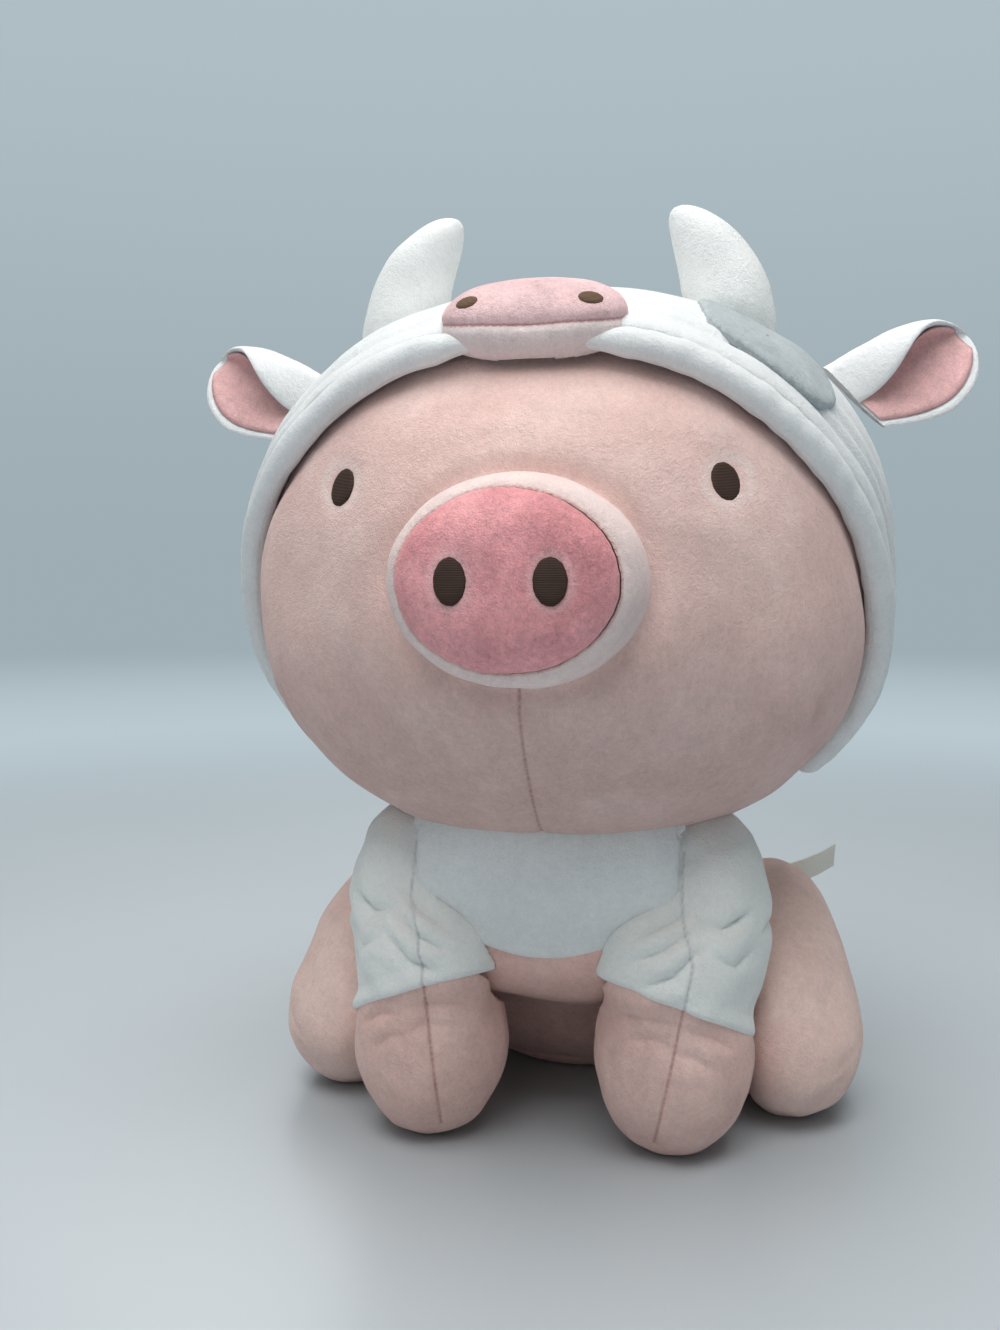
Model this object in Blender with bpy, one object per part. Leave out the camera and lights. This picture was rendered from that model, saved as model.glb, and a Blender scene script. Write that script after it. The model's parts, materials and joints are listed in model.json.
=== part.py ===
"""A plush pig that sits in a hooded cow costume, built from its sewn panels and their stuffing.

The pig faces -Y and its left side is at +X. The origin is the middle of the flat seat.
Every stuffed form is a smooth closed shape seen from a core point inside it, so a sewn panel is
a range of angles round that core, one fabric thickness deep, and its stuffing fills the inside.
"""

import math

import bmesh
import bpy
from mathutils import Matrix, Vector

# Clearances and fabrics
GAP = 0.0003
VELOUR = 0.0018
PADDING_THICKNESS = 0.0040
STUFFING_CLEARANCE = 0.0007
EMBROIDERY = 0.0012
CLEAN_MERGE = 0.000001

# Head: a squashed ball, round in plan, with full cheeks
HEAD_RADIUS = 0.112
HEAD_RISE = 0.097
HEAD_DROP = 0.092
HEAD_MIDDLE_HEIGHT = 0.205
HEAD_AHEAD = 0.052

# Snout: a soft drum on the face
SNOUT_HALF_WIDTH = 0.040
SNOUT_HALF_HEIGHT = 0.033
SNOUT_LENGTH = 0.042
SNOUT_ABOVE_HEAD_MIDDLE = 0.001
NOSTRIL_HALF_WIDTH = 0.0050
NOSTRIL_HALF_HEIGHT = 0.0070
NOSTRIL_SPREAD = 0.0150
EYE_HALF_WIDTH = 0.0056
EYE_HALF_HEIGHT = 0.0066
EYE_SPREAD = 0.0625
EYE_RISE = 0.032

# Hood: lining, padding and outer panels round the back of the head
HOOD_EASE_BACK = 0.0026
HOOD_EASE_FRONT = 0.0032
HOOD_BOTTOM_HEIGHT = 0.134
HEM_ROLL_RADIUS = 0.0050
PATCH_THICKNESS = 0.0010
PATCH_HALF_LENGTH = 0.034
MUZZLE_HALF_WIDTH = 0.031
MUZZLE_HALF_LENGTH = 0.019
MUZZLE_HALF_THICKNESS = 0.012
MUZZLE_NOSTRIL_HALF_WIDTH = 0.0030
MUZZLE_NOSTRIL_HALF_HEIGHT = 0.0021
MUZZLE_NOSTRIL_SPREAD = 0.0195

# Horns and ears
HORN_RADIUS = 0.0190
HORN_HEIGHT = 0.041
HORN_LEAN = 0.017
EAR_LENGTH = 0.042
EAR_HALF_WIDTH = 0.0225
EAR_ROOT_ROLL_RADIUS = 0.0032
EAR_CUP = 0.008

# Body: a narrow chest over a wide rump
CHEST_HALF_WIDTH = 0.054
CHEST_HALF_DEPTH = 0.054
CHEST_HALF_HEIGHT = 0.045
CHEST_HEIGHT = 0.098
CHEST_AHEAD = 0.047
RUMP_HALF_WIDTH = 0.078
RUMP_HALF_DEPTH = 0.056
RUMP_HALF_HEIGHT = 0.053
SEAT_SAG = 0.0035

# Front legs, from the shoulder seam to the hoof
SHOULDER_RADIUS = 0.027
SHOULDER_CLEARANCE = 0.0009
SHOULDER_AHEAD = 0.075
UPPER_LEG_HALF_WIDTH = 0.025
HOOF_HALF_WIDTH = 0.0285
HOOF_HALF_DEPTH = 0.028
HOOF_HALF_HEIGHT = 0.036
HOOF_SPREAD = 0.045
HOOF_AHEAD = 0.089
HOOF_SAG = 0.0010

# Hind legs, sewn flat to the rump
HAUNCH_HALF_WIDTH = 0.028
HAUNCH_HALF_DEPTH = 0.045
HAUNCH_HALF_HEIGHT = 0.047
HAUNCH_AHEAD = 0.008
FOOT_HALF_WIDTH = 0.026
FOOT_HALF_DEPTH = 0.036
FOOT_HALF_HEIGHT = 0.028
FOOT_SPREAD = 0.089
FOOT_AHEAD = 0.042
FOOT_SAG = 0.0010

# Tail and care label
TAIL_RADIUS = 0.0060
TAIL_LENGTH = 0.022
TAIL_CURL = 0.010
LABEL_WIDTH = 0.016
LABEL_LENGTH = 0.024
LABEL_THICKNESS = 0.0006
EAR_LINING_MARGIN = 0.0035

# How far out on the chest's half width the sleeves are sewn, and the armhole's size to the shoulder's
ARMHOLE_SHARE = 0.88
DRUM_SHARE = 1.15

# Places worked out from the sizes
HEAD_MIDDLE = Vector((0, -HEAD_AHEAD, HEAD_MIDDLE_HEIGHT))
CHEST_MIDDLE = Vector((0, -CHEST_AHEAD, CHEST_HEIGHT))
RUMP_MIDDLE = Vector((0, 0, RUMP_HALF_HEIGHT - SEAT_SAG))
SHOULDER_PLANE = CHEST_HALF_WIDTH * ARMHOLE_SHARE

# Directions
FRONT = Vector((0, -1, 0))
UP = Vector((0, 0, 1))

# Fullness of a form: 2 is an ellipsoid, more is boxier
ROUND = 2.0
CHEEKY = 2.3
CHEST_FULLNESS = 3.6
HOOF_FULLNESS = 2.6
DRUM = 3.0
UNION_SHARPNESS = 7.0
HALVINGS = 36
NECK_SEGMENTS = 36
NECK_PROFILE_START = 4
NECK_PROFILE_COUNT = 12
SWING_PROFILE_COUNT = 8
SWING_ANGLE = 100

# Shares and angles of the smaller shapes, in degrees where they are angles
LEG_STANDOFF_SHARE = 0.0
UPPER_LEG_SHARE = 0.343
SLEEVE_HEM_ANGLE = 102
SLEEVE_HEM_SLANT = 9
HAUNCH_STANDOFF_SHARE = 0.06
EASE_FADE = 45
SLOPE_STEP_SHARE = 0.01
SNOUT_RIM_SHARE = 0.87
SNOUT_ROOT_SHARE = 0.38
SNOUT_ROOT_ANGLE = 108
PATCH_OUTLINE_SHARES = (0.69, 0.95, 1.22, 1.07, 0.74, 0.66, 0.98, 1.03, 0.86, 0.75, 0.81, 0.7)
PATCH_RING_SHARES = (0.35, 0.7, 1.0)
PATCH_AROUND = 48
PATCH_FROM_FRONT = 66
PATCH_NARROW_SHARE = 0.75
MUZZLE_FROM_FRONT = 47.5
MUZZLE_SUNK_SHARE = 0.4
MUZZLE_NOSTRIL_TURN = 84
HORN_TAPER = 0.40
HORN_BLUNTNESS = 6
HORN_AROUND = 58
HORN_FROM_FRONT = 86
EAR_AROUND = 36
EAR_FROM_FRONT = 95
EAR_DROOP = 22
EAR_STATIONS = (0.0, 0.16, 0.34, 0.52, 0.7, 0.86, 0.97)
ROLL_STATIONS = ((-0.92, 0.38), (-0.5, 0.87), (0.3, 0.95), (1.1, 0.75))
EAR_SWELL_SHARE = 0.22
EAR_POINT = 2.4
EAR_CUP_SHARE = 0.35
EAR_CUP_REACH_SHARE = 1.0
TAIL_FROM_POLE = 95
TAIL_LENGTH_SHARES = (-0.35, 0.0, 0.35, 0.7, 1.0, 1.18)
TAIL_WIDTH_SHARES = (1.0, 1.0, 0.9, 0.76, 0.5, 0.0)
LABEL_AROUND = 38
LABEL_FROM_POLE = 86
LABEL_LIFT_SHARE = 0.5
LABEL_ROOT_SHARE = 0.3
LABEL_SAG_SHARE = 0.2
SIDES = ((1, "left"), (-1, "right"))

COLOURS = {
    "pink velour": ((0.86, 0.58, 0.53), 0.9),
    "rose velour": ((0.72, 0.30, 0.33), 0.85),
    "pale pink velour": ((0.90, 0.72, 0.70), 0.9),
    "white velour": ((0.86, 0.88, 0.88), 0.9),
    "grey velour": ((0.52, 0.56, 0.59), 0.9),
    "dark brown thread": ((0.035, 0.018, 0.012), 0.5),
    "amber brown thread": ((0.16, 0.08, 0.04), 0.5),
    "polyester stuffing": ((0.90, 0.90, 0.88), 1.0),
    "satin label": ((0.88, 0.86, 0.78), 0.6),
}


def clear_scene():
    """Remove whatever the scene holds, so the model stands alone."""
    for obj in list(bpy.data.objects):
        bpy.data.objects.remove(obj, do_unlink=True)


def fabric(name):
    """The material of one fabric, thread or filling."""
    material = bpy.data.materials.get(name)
    if material is None:
        colour, roughness = COLOURS[name]
        material = bpy.data.materials.new(name)
        material.use_nodes = True
        shader = material.node_tree.nodes["Principled BSDF"]
        shader.inputs["Base Color"].default_value = (*colour, 1)
        shader.inputs["Roughness"].default_value = roughness
        shader.inputs["Metallic"].default_value = 0
    return material


def steps(first, last, count):
    """Evenly spaced values from first to last."""
    return [first + (last - first) * i / count for i in range(count + 1)]


def mirrored(point, side):
    """A point of a left-hand piece, moved to the given side."""
    return Vector((point.x * side, point.y, point.z))


class Ball:
    """One swelling of a stuffed form: a middle, three half sizes and a fullness.

    A ball turned about x, y or z is oval round that axis, whatever its fullness. The drop is the
    half height below its middle.
    """

    def __init__(self, middle, halves, fullness=ROUND, drop=None, turned=None):
        self.middle = middle
        self.halves = halves
        self.fullness = fullness
        self.drop = halves[2] if drop is None else drop
        self.turned = turned

    def gauge(self, point, grow):
        """Below 1 inside the ball, 1 on it, in proportion to the distance from its middle."""
        offset = point - self.middle
        height = self.halves[2] if offset.z > 0 else self.drop
        shares = (
            abs(offset.x) / (self.halves[0] + grow),
            abs(offset.y) / (self.halves[1] + grow),
            abs(offset.z) / (height + grow),
        )
        if self.turned is not None:
            shares = dict(zip("xyz", shares))
            along = shares.pop(self.turned)
            shares = (math.hypot(*shares.values()), along)
        return sum(share**self.fullness for share in shares) ** (1 / self.fullness)


class Form:
    """A stuffed form: balls melted together, with the lines of its sewing pattern.

    Columns are angles round the pole, from the pig's left side towards its front or top.
    Rows are angles from the pole. A panel spans some columns and rows.
    """

    def __init__(self, balls, pole, ahead, columns, rows, floor=None, side=1, core=None):
        self.balls = balls
        self.pole = pole.normalized()
        self.ahead = (ahead - ahead.dot(self.pole) * self.pole).normalized()
        self.across = self.ahead.cross(self.pole)
        if self.across.x < 0 or (self.across.x == 0 and self.across.y < 0):
            self.across.negate()
        self.columns = columns
        self.rows = rows
        self.floor = floor
        self.side = side
        middle = sum((ball.middle for ball in balls), Vector()) / len(balls)
        self.core = middle if core is None else core

    def gauge(self, point, grow):
        """The melted gauge of all balls: 1 on the form's surface."""
        sharp = UNION_SHARPNESS
        total = sum(max(ball.gauge(point, grow), CLEAN_MERGE) ** -sharp for ball in self.balls)
        return total ** (-1 / sharp)

    def reach_from(self, start, direction, grow):
        """Distance from a place inside to the surface along a direction, by halving."""
        near, far = 0.0, 4 * max(max(ball.halves) for ball in self.balls)
        for _ in range(HALVINGS):
            middle = (near + far) / 2
            if self.gauge(start + direction * middle, grow) < 1:
                near = middle
            else:
                far = middle
        return near

    def reach(self, direction, grow):
        """Distance from the core to the surface along a direction."""
        return self.reach_from(self.core, direction, grow)

    def direction(self, around, from_pole):
        """The unit direction at two pattern angles in degrees."""
        turn, tilt = math.radians(around), math.radians(from_pole)
        rim = self.across * math.cos(turn) + self.ahead * math.sin(turn)
        return self.pole * math.cos(tilt) + rim * math.sin(tilt)

    def point(self, around, from_pole, depth):
        """The place at two pattern angles, a depth inside the form's surface."""
        direction = self.direction(around, from_pole)
        place = self.core + direction * self.reach(direction, -depth)
        if self.floor is not None:
            place.z = max(place.z, self.floor + depth)
        return mirrored(place, self.side)


def clean_object(name, bm, material, owner):
    """Weld a mesh, face it outwards and make it a smooth named object."""
    bmesh.ops.remove_doubles(bm, verts=bm.verts, dist=CLEAN_MERGE)
    bmesh.ops.dissolve_degenerate(bm, dist=CLEAN_MERGE, edges=bm.edges)
    bmesh.ops.recalc_face_normals(bm, faces=bm.faces)
    mesh = bpy.data.meshes.new(name)
    bm.to_mesh(mesh)
    bm.free()
    mesh.shade_smooth()
    mesh.set_sharp_from_angle(angle=math.radians(CREASE_ANGLE))
    if material is not None:
        mesh.materials.append(fabric(material))
    obj = bpy.data.objects.new(name, mesh)
    bpy.context.collection.objects.link(obj)
    if owner is not None:
        obj.parent = owner
        obj.matrix_parent_inverse = Matrix.Translation(-owner.location)
    return obj


def add_quad(bm, first, second, third, fourth):
    """Two triangles over four corners, always with the same diagonal, so like grids stay parallel."""
    bm.faces.new((first, second, third))
    bm.faces.new((first, third, fourth))


def add_grid(bm, lines, closed=True):
    """The faces of a grid of corners, joined round to its first line where it is closed."""
    for i in range(len(lines) if closed else len(lines) - 1):
        line, after = lines[i], lines[(i + 1) % len(lines)]
        for j in range(len(line) - 1):
            add_quad(bm, line[j], after[j], after[j + 1], line[j + 1])


def trim_edge(line, inward):
    """Draw one edge of a panel back by half the seam's gap."""
    for place, neighbour in zip(line, inward):
        step = neighbour - place
        if step.length > CLEAN_MERGE:
            place += step.normalized() * GAP / 2


def layered_solid(layers, closed, low_pole, high_pole):
    """A solid between an outer and an inner grid of points, with rims where the grids end."""
    bm = bmesh.new()
    made = []
    for grid in layers:
        if not closed:
            trim_edge(grid[0], grid[1])
            trim_edge(grid[-1], grid[-2])
        if not low_pole:
            trim_edge([line[0] for line in grid], [line[1] for line in grid])
        if not high_pole:
            trim_edge([line[-1] for line in grid], [line[-2] for line in grid])
        lines = [[bm.verts.new(place) for place in line] for line in grid]
        add_grid(bm, lines, closed)
        if closed:
            lines.append(lines[0])
        made.append(lines)
    outer, inner = made
    last = len(outer) - 1
    end = len(outer[0]) - 1
    for i in range(last):
        if not low_pole:
            add_quad(bm, outer[i][0], outer[i + 1][0], inner[i + 1][0], inner[i][0])
        if not high_pole:
            add_quad(bm, outer[i][end], outer[i + 1][end], inner[i + 1][end], inner[i][end])
    if not closed:
        for i in (0, last):
            for j in range(end):
                add_quad(bm, outer[i][j], outer[i][j + 1], inner[i][j + 1], inner[i][j])
    return bm


def panel(name, form, columns, rows, material, owner, thickness=VELOUR, depth=0.0, slit=False):
    """One sewn panel of a form, between two pattern columns and two pattern rows.

    A panel that goes all round is closed, or with a slit its two edges meet at a seam.
    """
    first, last = columns
    closed = last - first == 360 and not slit
    around = [a for a in form.columns if first <= a <= last]
    if closed:
        around = around[:-1]
    layers = []
    for level in (depth, depth + thickness):
        grid = []
        for a in around:
            tilts = form.rows(a)[rows[0] : rows[1] + 1]
            grid.append([form.point(a, tilt, level) for tilt in tilts])
        layers.append(grid)
    tilts = form.rows(around[0])
    low_pole = tilts[rows[0]] == 0
    high_pole = tilts[rows[1]] == 180
    bm = layered_solid(layers, closed, low_pole, high_pole)
    return clean_object(name, bm, material, owner)


def filling(name, form, depth, material="polyester stuffing", owner=None, every=1):
    """The closed solid a depth inside a form: its stuffing, or with a negative depth a cutter."""
    bm = bmesh.new()
    around = form.columns[:-1:every]
    grid = []
    for a in around:
        tilts = form.rows(a)
        inner = [tilt for tilt in tilts[::every] if SEAM_END < tilt < 180 - SEAM_END]
        full = [0, *inner, 180]
        grid.append([bm.verts.new(form.point(a, tilt, depth)) for tilt in full])
    add_grid(bm, grid)
    return clean_object(name, bm, material, owner)


def cutter(name, form, clearance=GAP):
    """A hidden copy of a form, grown by a clearance, that cuts its neighbours."""
    obj = filling(name, form, -clearance, material=None)
    return hide(obj)


def hide(obj):
    """Keep a cutter out of sight."""
    obj.hide_render = True
    obj.display_type = "WIRE"
    return obj


def cut(obj, tool):
    """Cut one object with another."""
    modifier = obj.modifiers.new("cut by " + tool.name, "BOOLEAN")
    modifier.operation = "DIFFERENCE"
    modifier.solver = "EXACT"
    modifier.object = tool


def keep_largest(obj):
    """Apply a panel's cuts and keep its largest piece, without the snippets cut off it."""
    bpy.context.view_layer.update()
    bm = bmesh.new()
    bm.from_object(obj, bpy.context.evaluated_depsgraph_get())
    left = set(bm.verts)
    islands = []
    while left:
        reached = [left.pop()]
        for vert in reached:
            near = {edge.other_vert(vert) for edge in vert.link_edges} & left
            left -= near
            reached.extend(near)
        islands.append(reached)
    islands.sort(key=len)
    bmesh.ops.delete(bm, geom=[vert for island in islands[:-1] for vert in island], context="VERTS")
    obj.modifiers.clear()
    bm.to_mesh(obj.data)
    bm.free()


def joint_empty(name, location, parent=None):
    """An empty on a joint's axis, which carries the pieces that move with it."""
    empty = bpy.data.objects.new(name, None)
    empty.location = location
    bpy.context.collection.objects.link(empty)
    if parent is not None:
        empty.parent = parent
        empty.matrix_parent_inverse = Matrix.Translation(-parent.location)
    return empty


# Sewing patterns: the angles where panels meet
CREASE_ANGLE = 50
OVAL_COLUMNS = steps(-90, 270, 12)
OVAL_ROWS = (0, 30, 60, 75, 90, 180)
MUZZLE_COLUMNS = steps(-30, 330, 24)
MUZZLE_ROWS = steps(0, 180, 6)
MUZZLE_PAD_COLUMNS = (-30, 150)
MUZZLE_LIP_COLUMNS = (150, 210)
HORN_SEGMENTS = 12
HORN_RISES = (0, 12, 24, 36, 48, 60, 74, 90)
EAR_BREADTH = steps(-1, 1, 6)
TAIL_SEGMENTS = 10
HEM_ROLL_SIDES = 8
HOOD_ROW_COUNT = 7
PATCH_SEGMENTS = 24
TURN_COLUMNS = steps(-90, 270, 24)
LIMB_COLUMNS = steps(-90, 270, 16)
HAUNCH_COLUMNS = steps(-90, 270, 20)
HAUNCH_ROWS = (0, 27, 52, 74, 93, 106, 116, 129, 144, 160, 180)
SEAM_END = 2
SNOUT_HOLE = 13
FACE_EDGE = 100
JACKET_TOP = 20
JACKET_HEM_DROP = 5
SEAT_EDGE = 150
CHEST_COLUMNS = (45, 135)
LEFT_COLUMNS = (-90, 45)
RIGHT_COLUMNS = (135, 270)
OUTER_HALF = (-90, 90)
INNER_HALF = (90, 270)
ALL_ROUND = (-90, 270)
HEM_ANGLES = (41, 45.5, 51.5, 64, 79, 97, 115)

HEAD_BALL = Ball(HEAD_MIDDLE, (HEAD_RADIUS, HEAD_RADIUS, HEAD_RISE), CHEEKY, HEAD_DROP, "z")
HEAD_ROWS = [0, *steps(SNOUT_HOLE, FACE_EDGE, 8), *steps(FACE_EDGE, 180, 5)[1:]]
HEAD = Form([HEAD_BALL], FRONT, UP, TURN_COLUMNS, lambda around: HEAD_ROWS)

CHEST_HALVES = (CHEST_HALF_WIDTH, CHEST_HALF_DEPTH, CHEST_HALF_HEIGHT)
CHEST_BALL = Ball(CHEST_MIDDLE, CHEST_HALVES, CHEST_FULLNESS)
RUMP_BALL = Ball(RUMP_MIDDLE, (RUMP_HALF_WIDTH, RUMP_HALF_DEPTH, RUMP_HALF_HEIGHT))
TORSO_TILT = math.radians(21.5)
TORSO_POLE = Vector((0, -math.sin(TORSO_TILT), math.cos(TORSO_TILT)))


def jacket_hem(around):
    """Angle from the torso's pole of the jacket's hem, which runs level round the body."""
    lean = math.sin(TORSO_TILT) * math.sin(math.radians(around))
    return math.degrees(math.atan2(math.cos(TORSO_TILT), lean)) + JACKET_HEM_DROP


def torso_rows(around):
    """Row angles of the torso: jacket to its hem, belly and rump to the seat, and the seat."""
    hem = jacket_hem(around)
    return [
        *steps(JACKET_TOP, hem, 5),
        *steps(hem, SEAT_EDGE, 4)[1:],
        *steps(SEAT_EDGE, 180, 3)[1:],
    ]


TORSO = Form([CHEST_BALL, RUMP_BALL], TORSO_POLE, FRONT, TURN_COLUMNS, torso_rows, floor=0)


def head_underside(radius):
    """Height of the head's underside at a distance from its upright axis."""
    share = (radius / HEAD_RADIUS) ** CHEEKY
    return HEAD_MIDDLE_HEIGHT - HEAD_DROP * (1 - share) ** (1 / CHEEKY)


SHOULDER_OFF_NECK = math.hypot(SHOULDER_PLANE, SHOULDER_AHEAD - HEAD_AHEAD)
SHOULDER_TOP = head_underside(SHOULDER_OFF_NECK) - SHOULDER_CLEARANCE
SHOULDER_HEIGHT = SHOULDER_TOP - SHOULDER_RADIUS
UPPER_LEG_HALF_HEIGHT = SHOULDER_TOP * UPPER_LEG_SHARE


def front_leg(side):
    """The form of one front leg, from the shoulder to the hoof on the floor."""
    upper_middle = Vector((
        CHEST_HALF_WIDTH + UPPER_LEG_HALF_WIDTH * LEG_STANDOFF_SHARE,
        -SHOULDER_AHEAD,
        SHOULDER_TOP - UPPER_LEG_HALF_HEIGHT,
    ))
    upper = Ball(upper_middle, (UPPER_LEG_HALF_WIDTH, SHOULDER_RADIUS, UPPER_LEG_HALF_HEIGHT))
    hoof_middle = Vector((HOOF_SPREAD, -HOOF_AHEAD, HOOF_HALF_HEIGHT - HOOF_SAG))
    hoof_halves = (HOOF_HALF_WIDTH, HOOF_HALF_DEPTH, HOOF_HALF_HEIGHT)
    hoof = Ball(hoof_middle, hoof_halves, HOOF_FULLNESS, turned="z")

    def rows(around):
        hem = SLEEVE_HEM_ANGLE + SLEEVE_HEM_SLANT * math.cos(math.radians(around))
        return [*steps(SEAM_END, hem, 5), *steps(hem, 180 - SEAM_END, 4)[1:]]

    pole = upper_middle - hoof_middle
    return Form([upper, hoof], pole, FRONT, LIMB_COLUMNS, rows, floor=GAP, side=side)


def hind_leg(side):
    """The form of one hind leg: a haunch and a foot that points forward."""
    haunch_middle = Vector((
        RUMP_HALF_WIDTH + HAUNCH_HALF_WIDTH * HAUNCH_STANDOFF_SHARE,
        -HAUNCH_AHEAD,
        HAUNCH_HALF_HEIGHT - FOOT_SAG,
    ))
    haunch = Ball(haunch_middle, (HAUNCH_HALF_WIDTH, HAUNCH_HALF_DEPTH, HAUNCH_HALF_HEIGHT))
    foot_middle = Vector((FOOT_SPREAD, -FOOT_AHEAD, FOOT_HALF_HEIGHT - FOOT_SAG))
    foot = Ball(foot_middle, (FOOT_HALF_WIDTH, FOOT_HALF_DEPTH, FOOT_HALF_HEIGHT))
    across = Vector((1, 0, 0))
    rows = HAUNCH_ROWS
    return Form([haunch, foot], across, UP, HAUNCH_COLUMNS, lambda around: rows, floor=0, side=side)


class Hood(Form):
    """The hood: the head's form let out by its ease and its three layers."""

    def hem(self, around):
        """Angle from the front of the hood's front edge: low over the brow, far back at the jaw."""
        turn = abs((90 - around + 180) % 360 - 180)
        place = turn / 180 * (len(HEM_ANGLES) - 1)
        low = min(math.floor(place), len(HEM_ANGLES) - 2)
        before = HEM_ANGLES[abs(low - 1)]
        start, end = HEM_ANGLES[low], HEM_ANGLES[low + 1]
        after = HEM_ANGLES[min(low + 2, len(HEM_ANGLES) - 1)]
        blend = place - low
        rise = (end - before) / 2
        fall = (after - start) / 2
        swell = 3 * (end - start) - 2 * rise - fall
        curve = rise + fall - 2 * (end - start)
        return start + rise * blend + swell * blend**2 + curve * blend**3

    def past_hem(self, around):
        """Angle from the front where the layers start, just behind the hem roll."""
        hem = self.hem(around)
        middle = self.point(around, hem, self.layers() / 2)
        climb = (self.hem(around + 1) - self.hem(around - 1)) / 2 / math.sin(math.radians(hem))
        room = math.degrees((HEM_ROLL_RADIUS + 2 * GAP) / (middle - self.core).length)
        return hem + room * math.hypot(1, climb)

    def layers(self):
        """Thickness of lining, padding and outer panels with the gaps between them."""
        return 2 * VELOUR + PADDING_THICKNESS + 2 * GAP

    def point(self, around, from_pole, depth):
        """The place at two pattern angles, a depth inside the hood's outside."""
        past_hem = min(1, max(0, from_pole - self.hem(around)) / EASE_FADE)
        ease = HOOD_EASE_BACK + (HOOD_EASE_FRONT - HOOD_EASE_BACK) * (1 - past_hem) ** 2
        direction = self.direction(around, from_pole)
        return self.core + direction * self.reach(direction, ease + self.layers() - depth)


def hood_rows(around):
    """Row angles of the hood's layers, which start behind the hem roll."""
    return steps(HOOD.past_hem(around), 180, HOOD_ROW_COUNT)


def hood_cutter_rows(around):
    """Row angles of the whole hood, closed over the face as well."""
    return [0, *steps(0, HOOD.past_hem(around), 3)[1:-1], *hood_rows(around)]


HOOD = Hood([HEAD_BALL], FRONT, UP, TURN_COLUMNS, hood_rows)
WHOLE_HOOD = Hood([HEAD_BALL], FRONT, UP, TURN_COLUMNS, hood_cutter_rows)


def box_below(name, height):
    """A hidden box that reaches from far below up to a height."""
    size = 4 * HEAD_RADIUS
    bm = bmesh.new()
    bmesh.ops.create_cube(bm, size=size)
    bmesh.ops.translate(bm, verts=bm.verts, vec=(0, -HEAD_AHEAD, height - size / 2))
    return hide(clean_object(name, bm, None, None))


def turned_solid(name, profile, place):
    """A hidden solid turned round an axis, from the radius and height of each point of its outline."""
    bm = bmesh.new()
    rings = []
    for radius, height in profile:
        ring = []
        for turn in steps(0, 2 * math.pi, NECK_SEGMENTS)[:-1]:
            spot = Vector((radius * math.cos(turn), radius * math.sin(turn), height))
            ring.append(bm.verts.new(place @ spot))
        rings.append(ring)
    for below, above in zip(rings, rings[1:]):
        for i in range(NECK_SEGMENTS):
            after = (i + 1) % NECK_SEGMENTS
            bm.faces.new((below[i], below[after], above[after], above[i]))
    bm.faces.new(rings[0])
    bm.faces.new(rings[-1])
    return hide(clean_object(name, bm, None, None))


def head_sweep():
    """What the head takes up however it turns: its underside turned round the neck's axis."""
    clearance = GAP + HEAD_RADIUS * (1 - math.cos(math.pi / NECK_SEGMENTS))
    profile = []
    for tilt in steps(NECK_PROFILE_START, 90, NECK_PROFILE_COUNT):
        across = math.sin(math.radians(tilt)) * (HEAD_RADIUS + clearance)
        share = (across / (HEAD_RADIUS + clearance)) ** CHEEKY
        drop = (HEAD_DROP + clearance) * max(0, 1 - share) ** (1 / CHEEKY)
        profile.append((across, HEAD_MIDDLE_HEIGHT - drop))
    profile.append((HEAD_RADIUS + clearance, HEAD_MIDDLE_HEIGHT + HEAD_RISE))
    return turned_solid("head_sweep", profile, Matrix.Translation((0, -HEAD_AHEAD, 0)))


def shoulder_axis(side):
    """The place and direction of a shoulder's axis, which runs out sideways from the pig's middle."""
    outward = Matrix.Rotation(math.radians(90), 4, "Y") @ Matrix.Scale(side, 4, UP)
    return Matrix.Translation((0, -SHOULDER_AHEAD, SHOULDER_HEIGHT)) @ outward


def armhole(name, side, start, clearance):
    """The drum round a shoulder's axis, from a distance off the pig's middle outwards."""
    radius = SHOULDER_RADIUS * DRUM_SHARE + clearance
    profile = [(radius, start), (radius, CHEST_HALF_WIDTH + SHOULDER_RADIUS)]
    return turned_solid(name, profile, shoulder_axis(side))


def chest_swing(name, side):
    """What the chest takes up as seen from a swinging front leg: its front turned round the shoulder."""
    clearance = GAP + SHOULDER_RADIUS * (1 - math.cos(math.pi / NECK_SEGMENTS))
    profile = []
    for across in steps(0, SHOULDER_PLANE + GAP, SWING_PROFILE_COUNT):
        radius = SHOULDER_RADIUS * DRUM_SHARE
        middle = Vector((min(across, SHOULDER_PLANE), -SHOULDER_AHEAD, SHOULDER_HEIGHT))
        for angle in steps(0, SWING_ANGLE, SWING_PROFILE_COUNT):
            turn = math.radians(angle)
            direction = Vector((0, -math.sin(turn), -math.cos(turn)))
            radius = max(radius, TORSO.reach_from(middle, direction, 0))
        profile.append((radius + clearance, across))
    return turned_solid(name, profile, shoulder_axis(side))


def build_torso(torso, tools):
    """Jacket body, belly, rump and seat panels round one filling."""
    pieces = [
        panel("jacket_chest_panel", TORSO, CHEST_COLUMNS, (0, 5), "white velour", torso),
        panel("jacket_back_left_panel", TORSO, LEFT_COLUMNS, (0, 5), "white velour", torso),
        panel("jacket_back_right_panel", TORSO, RIGHT_COLUMNS, (0, 5), "white velour", torso),
    ]
    pieces.append(filling("body_stuffing", TORSO, VELOUR + STUFFING_CLEARANCE, owner=torso))
    for piece in pieces:
        cut(piece, tools["head_sweep"])
    pieces += [
        panel("belly_panel", TORSO, CHEST_COLUMNS, (5, 9), "pink velour", torso),
        panel("rump_left_panel", TORSO, LEFT_COLUMNS, (5, 9), "pink velour", torso),
        panel("rump_right_panel", TORSO, RIGHT_COLUMNS, (5, 9), "pink velour", torso),
    ]
    for piece in pieces:
        for _, word in SIDES:
            cut(piece, tools["armhole_" + word])
        keep_largest(piece)
    panel("seat_panel", TORSO, ALL_ROUND, (9, 12), "pink velour", torso)


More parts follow.
